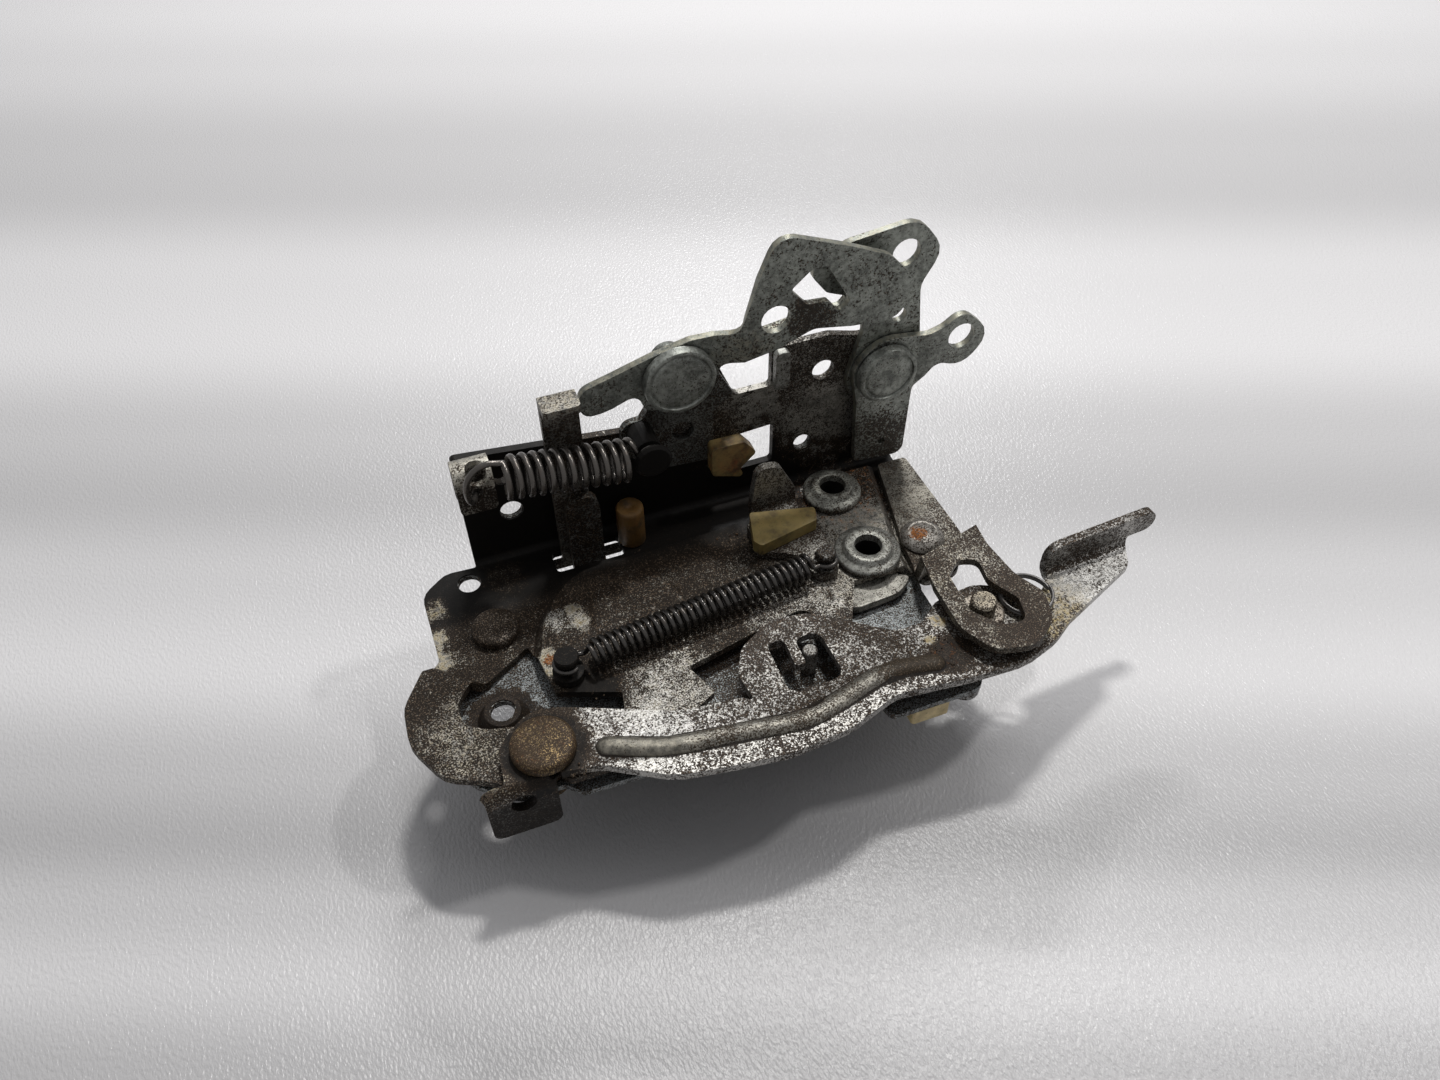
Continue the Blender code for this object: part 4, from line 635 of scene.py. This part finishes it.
def rib():
    """The pressed rib of the ribbed lever: a smooth half-round, wiped cleaner than the sheet round it."""
    half, tall, foot = 2.15, 1.45, 5.38
    route = smooth_path([(14.5, -62.4, 0), (25.3, -66.6, 0), (39, -68.6, 0), (52.8, -70.4, 0),
                         (61, -68.8, 0), (69.7, -66.4, 0), (76, -66, 0), (83, -67.4, 0)], 6)
    ends = [(route[0], route[0] - route[1]), (route[-1], route[-1] - route[-2])]
    tips = [[(point + way.normalized() * half * math.sin(math.radians(a)), math.cos(math.radians(a)))
             for a in (15, 30, 45, 58, 70, 80, 86)] for point, way in ends]
    stations = tips[0][::-1] + [(point, 1.0) for point in route] + tips[1]
    obj = wire("lever_rib", [point + Vector((0, 0, HOME.z)) for point, _ in stations], 2 * half, RIB_STEEL,
               "ribbed", sides=6)
    for point, (_, thick) in zip(obj.data.splines[0].points, stations):
        point.radius = thick
    obj = as_mesh(obj)
    obj.scale = (1, 1, tall / half)
    obj.location = (0, 0, (foot - HOME.z) * MM)
    bpy.ops.object.transform_apply(location=True, rotation=True, scale=True)
    bpy.ops.object.shade_smooth_by_angle(angle=SMOOTH_ANGLE)


RIB_STEEL = metal("Rib", (0.19, 0.18, 0.155), grease=0.5, flecks_and_glints=0.2, stain=0.1, scale=2700,
                  film=(0.045, 0.035, 0.025),
                  spots=[(17, -63.5, 6, 9, 9, {"Grease": -0.24, "Bright": -0.2}),
                         (81, -67, 6, 5, 8, {"Grease": 0.3})])


def turned_pieces():
    """Rivet heads, collars, a washer and the buffer, finer than the CAD's facets."""
    front = 4.3
    for name, (x, z), r in (("handle_rivet", (50.1, 43.5), 7.9), ("eye_rivet", (99.3, 30.8), 7.2)):
        top = front + 2.4
        turned(name + "_turned",
               [(r - 2.3, top - 0.2), (r - 1.75, top - 0.24), (r - 1.5, top - 0.46), (r - 1.25, top - 0.46),
                (r - 1.0, top - 0.05), (r - 0.5, top), (r - 0.16, top - 0.18), (r, top - 0.6),
                (r, front + 0.15), (r - 0.15, front), (2.6, front), (2.6, -2.1), (3.6, -2.1), (3.6, -3.5),
                (3.3, -3.9)],
               (x, -1.5, z), "-Y", FINISHES[name], "frame", (name,))
    for name, (x, y), r, foot in (("far_collar", (84.8, -12.8), 6.9, -3.6),
                                  ("near_collar", (84.3, -33.2), 7.5, -25.7)):
        turned(name + "_turned",
               [(3, 5.9), (3.15, 6.25), (3.5, 6.4), (r - 2.5, 6.38), (r - 2.15, 6.2), (r - 1.75, 5.35),
                (r - 1.45, 5.15), (r - 0.4, 4.85), (r - 0.12, 4.65), (r, 4.3), (r, 3.5), (r - 0.15, 3.3),
                (3.7, 3.3), (3.7, foot), (3, foot)],
               (x, y, 0), "Z", FINISHES[name], "frame", (name,), bored=True)
    turned("left_rivet_turned",
           [(3.2, 2.6), (4.5, 2.5), (5.0, 2.2), (5.2, 1.7), (5.2, 0.7), (5.05, 0.55), (2.6, 0.55),
            (2.6, -1.85), (3.6, -1.85), (3.6, -3.1), (3.3, -3.45)],
           (1, -22.5, 0), "Z", FINISHES["left_rivet"], "frame", ("left_rivet",))
    turned("lever_rivet_turned",
           [(4.4, 8.0), (5.6, 7.92), (6.1, 7.7), (6.4, 7.3), (6.5, 6.9), (6.5, 5.8), (6.35, 5.6), (3.4, 5.6),
            (3.4, -3.9), (4.4, -3.9), (4.4, -5.5), (4.0, -5.9)],
           (2.7, -58.4, 0), "Z", FINISHES["lever_rivet"], "frame", ("lever_rivet",))
    turned("link_rivet_turned",
           [(0.8, 4.8), (1.6, 4.74), (2.5, 4.55), (2.8, 4.3), (3.1, 4.28), (3.4, 4.35), (4.2, 3.9),
            (4.85, 3.2), (5.1, 2.65), (4.95, 2.4), (2.6, 2.4), (2.6, -2.1), (3.6, -2.1), (3.6, -3.5),
            (3.3, -3.9)],
           (98.6, -32.6, 0), "Z", FINISHES["link_rivet"], "frame", ("link_rivet",))
    turned("slot_washer_turned",
           [(1.9, 6.7), (4.3, 6.7), (4.7, 6.62), (4.9, 6.4), (4.95, 6.1), (4.95, 5.75), (4.8, 5.6),
            (1.9, 5.6)],
           (98.2, -59.4, 0), "Z", FINISHES["slot_washer"], "ribbed", ("slot_washer",), bored=True)
    turned("rubber_buffer_turned",
           [(0.35, 10.1), (0.75, 10.35), (1.5, 10.75), (2.4, 10.9), (2.9, 10.8), (3.15, 10.45), (3.2, 9.9),
            (3.2, 0.5), (3.05, 0.3)],
           (36.9, -6.8, 0), "Z", FINISHES["rubber_buffer"], "frame", ("rubber_buffer",), sides=40)


def crumbs():
    """Grains of dried dirt, each its own size and turn, joined for each body."""
    rng = random.Random(4)
    for name, body, count, patches in CRUMBS:
        select_none()
        grains = []
        for i in range(count):
            x, y, z, reach = patches[i % len(patches)]
            at = place(x + rng.uniform(-reach, reach), y + rng.uniform(-reach, reach), z)
            size = rng.uniform(0.16, 0.42) * MM
            bpy.ops.mesh.primitive_ico_sphere_add(subdivisions=1, radius=size, location=at)
            grain = bpy.context.object
            grain.rotation_euler = [rng.uniform(0, 3) for _ in range(3)]
            grain.scale = [rng.uniform(0.6, 1.4), rng.uniform(0.5, 1.1), rng.uniform(0.4, 0.8)]
            grains.append(grain)
        for grain in grains:
            grain.select_set(True)
        bpy.context.view_layer.objects.active = grains[0]
        bpy.ops.object.join()
        obj = bpy.context.object
        obj.name = obj.data.name = name
        bpy.ops.object.transform_apply(location=True, rotation=True, scale=True)
        obj.data.materials.append(CRUMB_DIRT)
        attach(obj, body)


CRUMB_DIRT = metal("Dry_dirt", (0.16, 0.12, 0.08), grease=0.6, rust=0.15, scale=2600)
# Name, body, how many, and the patches they lie on: x, y, z and reach in millimetres
CRUMBS = [("dirt_on_base", "frame", 60, [(18, -46, 3.1, 4), (40, -25, 3.1, 9), (56, -20, 3.1, 5),
                                         (30, -20, 3.1, 7), (78, -24, 3.1, 2.5)]),
          ("dirt_on_lever", "ribbed", 30, [(84, -66.5, 5.4, 3), (86, -63, 5.4, 2.5), (8, -66, 5.4, 2)])]


def threads():
    """Thread turns inside the screw holes."""
    turns, steps, pitch = 3, 24, 0.55
    steel = metal("Thread", (0.2, 0.2, 0.19), grease=0.5, scale=1500)
    for name, centre, normal, r in (("thread_base", (-1.5, -6.5, -0.9), "Z", 2.66),
                                    ("thread_left", (11.5, -0.6, 13.9), "Y", 2.66),
                                    ("thread_right", (81.7, -0.6, 11.2), "Y", 2.26),
                                    ("thread_boss", (-2.6, -43.6, 0.1), "Z", 2.66)):
        points = []
        for i in range(turns * steps + 1):
            a, h = math.tau * i / steps, pitch * (i / steps - turns / 2) * 0.9
            u, v = r * math.cos(a), r * math.sin(a)
            offset = (u, v, h) if normal == "Z" else (u, h, v)
            points.append(Vector(centre) + Vector(offset))
        wire(name, points, 0.34, steel, "frame", sides=1)


# Studio


def floor_finish():
    """Pale embossed plastic, with soft bands of painted reflection of the strip lights in its colour."""
    mat, tree, shader = start("Floor")
    vector = node(tree, "TexCoord").outputs["Object"]
    turn = node(tree, "Mapping")
    turn.inputs["Rotation"].default_value = (0, 0, REFLECTION_TURN)
    tree.links.new(vector, turn.inputs["Vector"])
    split = node(tree, "SeparateXYZ")
    tree.links.new(turn.outputs[0], split.inputs[0])
    painted_reflection = node(tree, "ValToRGB")
    along = maths(tree, "MULTIPLY", maths(tree, "ADD", split.outputs["Y"], REFLECTION_START), REFLECTION_RATE)
    tree.links.new(along, painted_reflection.inputs[0])
    elements = painted_reflection.color_ramp.elements
    while len(elements) < len(PAINTED_REFLECTIONS):
        elements.new(0.5)
    for element, (at, value) in zip(elements, PAINTED_REFLECTIONS):
        element.position = (at / 1000 + REFLECTION_START) * REFLECTION_RATE
        element.color = (value, value * 0.985, value * 0.985, 1)
    painted_reflection.color_ramp.interpolation = "EASE"
    away = node(tree, "VectorMath", operation="LENGTH")
    tree.links.new(vector, away.inputs[0])
    plain = mix(tree, ramp(tree, away.outputs["Value"], 0.38, 0.75), painted_reflection.outputs[0], (0.76, 0.75, 0.75))
    tree.links.new(plain, shader.inputs["Base Color"])
    shader.inputs["Roughness"].default_value = 0.28
    shader.inputs["Specular IOR Level"].default_value = 0.45
    press = node(tree, "Mapping")
    press.inputs["Rotation"].default_value = (0, 0, math.radians(-35))
    press.inputs["Scale"].default_value = (1.0, 0.55, 1.0)
    tree.links.new(vector, press.inputs["Vector"])
    grain = noise(tree, press.outputs[0], 1500, 2, 0.5)
    bump = node(tree, "Bump")
    bump.inputs["Strength"].default_value = 0.5
    bump.inputs["Distance"].default_value = 0.0005
    tree.links.new(grain, bump.inputs["Height"])
    tree.links.new(bump.outputs[0], shader.inputs["Normal"])
    return mat


# Floor's painted reflections of the strip lights: which way their bands run; how far before its middle they
# start, in metres; how fast they pass
REFLECTION_TURN = math.radians(21.2)
REFLECTION_START = 0.1
REFLECTION_RATE = 2.0
FLOOR_HALF = 3.0
# Painted reflections: how far up the floor, in millimetres from its middle, and how light the floor's colour
# is painted there
PAINTED_REFLECTIONS = [(-95, 0.52), (-77, 0.7), (-62, 0.6), (-47, 0.47), (-30, 0.56), (-2, 0.76), (28, 0.66), (56, 0.53),
         (84, 0.6), (125, 0.78), (165, 0.75), (215, 0.58), (250, 0.6), (320, 0.74), (380, 0.84)]


def studio():
    """The floor, a soft sky that looks pale from any side, and three strip lights."""
    floor = bpy.data.meshes.new("floor")
    s = FLOOR_HALF
    floor.from_pydata([(-s, -s, 0), (s, -s, 0), (s, s, 0), (-s, s, 0)], [], [(0, 1, 2, 3)])
    obj = bpy.data.objects.new("floor", floor)
    bpy.context.scene.collection.objects.link(obj)
    floor.materials.append(floor_finish())
    world = bpy.data.worlds.new("Studio")
    bpy.context.scene.world = world
    world.use_nodes = True
    tree = world.node_tree
    sky = tree.nodes["Background"]
    split = node(tree, "SeparateXYZ")
    tree.links.new(node(tree, "TexCoord").outputs["Generated"], split.inputs[0])
    dome = maths(tree, "ADD", maths(tree, "MULTIPLY", split.outputs["Z"], 0.75),
                 maths(tree, "MULTIPLY", split.outputs["Y"], 0.3))
    dome = ramp(tree, dome, -0.1, 0.9)
    ray = node(tree, "LightPath").outputs
    seen = maths(tree, "ADD", maths(tree, "ADD", ray["Is Camera Ray"], ray["Is Glossy Ray"]),
                 ray["Is Transmission Ray"], True)
    lit = mix(tree, dome, (0.1, 0.1, 0.105), (0.42, 0.425, 0.44))
    pale = mix(tree, dome, (0.4, 0.4, 0.405), (0.42, 0.425, 0.44))
    tree.links.new(mix(tree, seen, lit, pale), sky.inputs[0])
    sky.inputs[1].default_value = 1.0

    def lamp(name, rise, turn, far, size, power, colour=(1, 1, 1)):
        """A strip light, by its height angle, its angle from +Y towards +X, and its distance."""
        rise, turn = math.radians(rise), math.radians(turn)
        level_way = Vector((math.sin(turn), math.cos(turn), 0)) * math.cos(rise)
        spot = (level_way + Vector((0, 0, math.sin(rise)))) * far
        light = bpy.data.lights.new(name, "AREA")
        light.shape = "RECTANGLE"
        light.size, light.size_y = size
        light.energy = power
        light.color = colour
        lamp_obj = bpy.data.objects.new(name, light)
        lamp_obj.location = spot
        lamp_obj.rotation_euler = (-spot).to_track_quat("-Z", "Y").to_euler()
        bpy.context.scene.collection.objects.link(lamp_obj)

    lamp("High_tube", 70, 34, 1.0, (0.1, 0.05), 3.6, (1, 0.99, 0.97))
    lamp("Side_tube", 59, 92, 1.0, (0.07, 0.05), 1.8, (1, 0.99, 0.99))
    lamp("Back_tube", 41, 22, 1.0, (0.2, 0.04), 2.5, (0.99, 0.99, 1))


def camera():
    """The photograph's own view, found from the lock's round holes and heads."""
    cam = bpy.data.cameras.new("Camera")
    cam.sensor_width = 36.0
    cam.lens = 28.75
    cam.clip_start = 0.01
    obj = bpy.data.objects.new("Camera", cam)
    right = Vector((0.9353, -0.3537, -0.0083))
    up = Vector((0.2648, 0.6843, 0.6794))
    back = Vector((-0.2346, -0.6377, 0.7337))
    spin = Matrix((right, up, back)).transposed().to_4x4()
    obj.matrix_world = Matrix.Translation(place(-6.9, -185.0, 196.2)) @ spin
    bpy.context.scene.collection.objects.link(obj)
    bpy.context.scene.camera = obj


camera()
studio()
dress()
lower_spring()
upper_spring()
link_spring()
rib()
turned_pieces()
threads()
crumbs()
bpy.context.scene.view_settings.view_transform = "Standard"
bpy.context.view_layer.update()
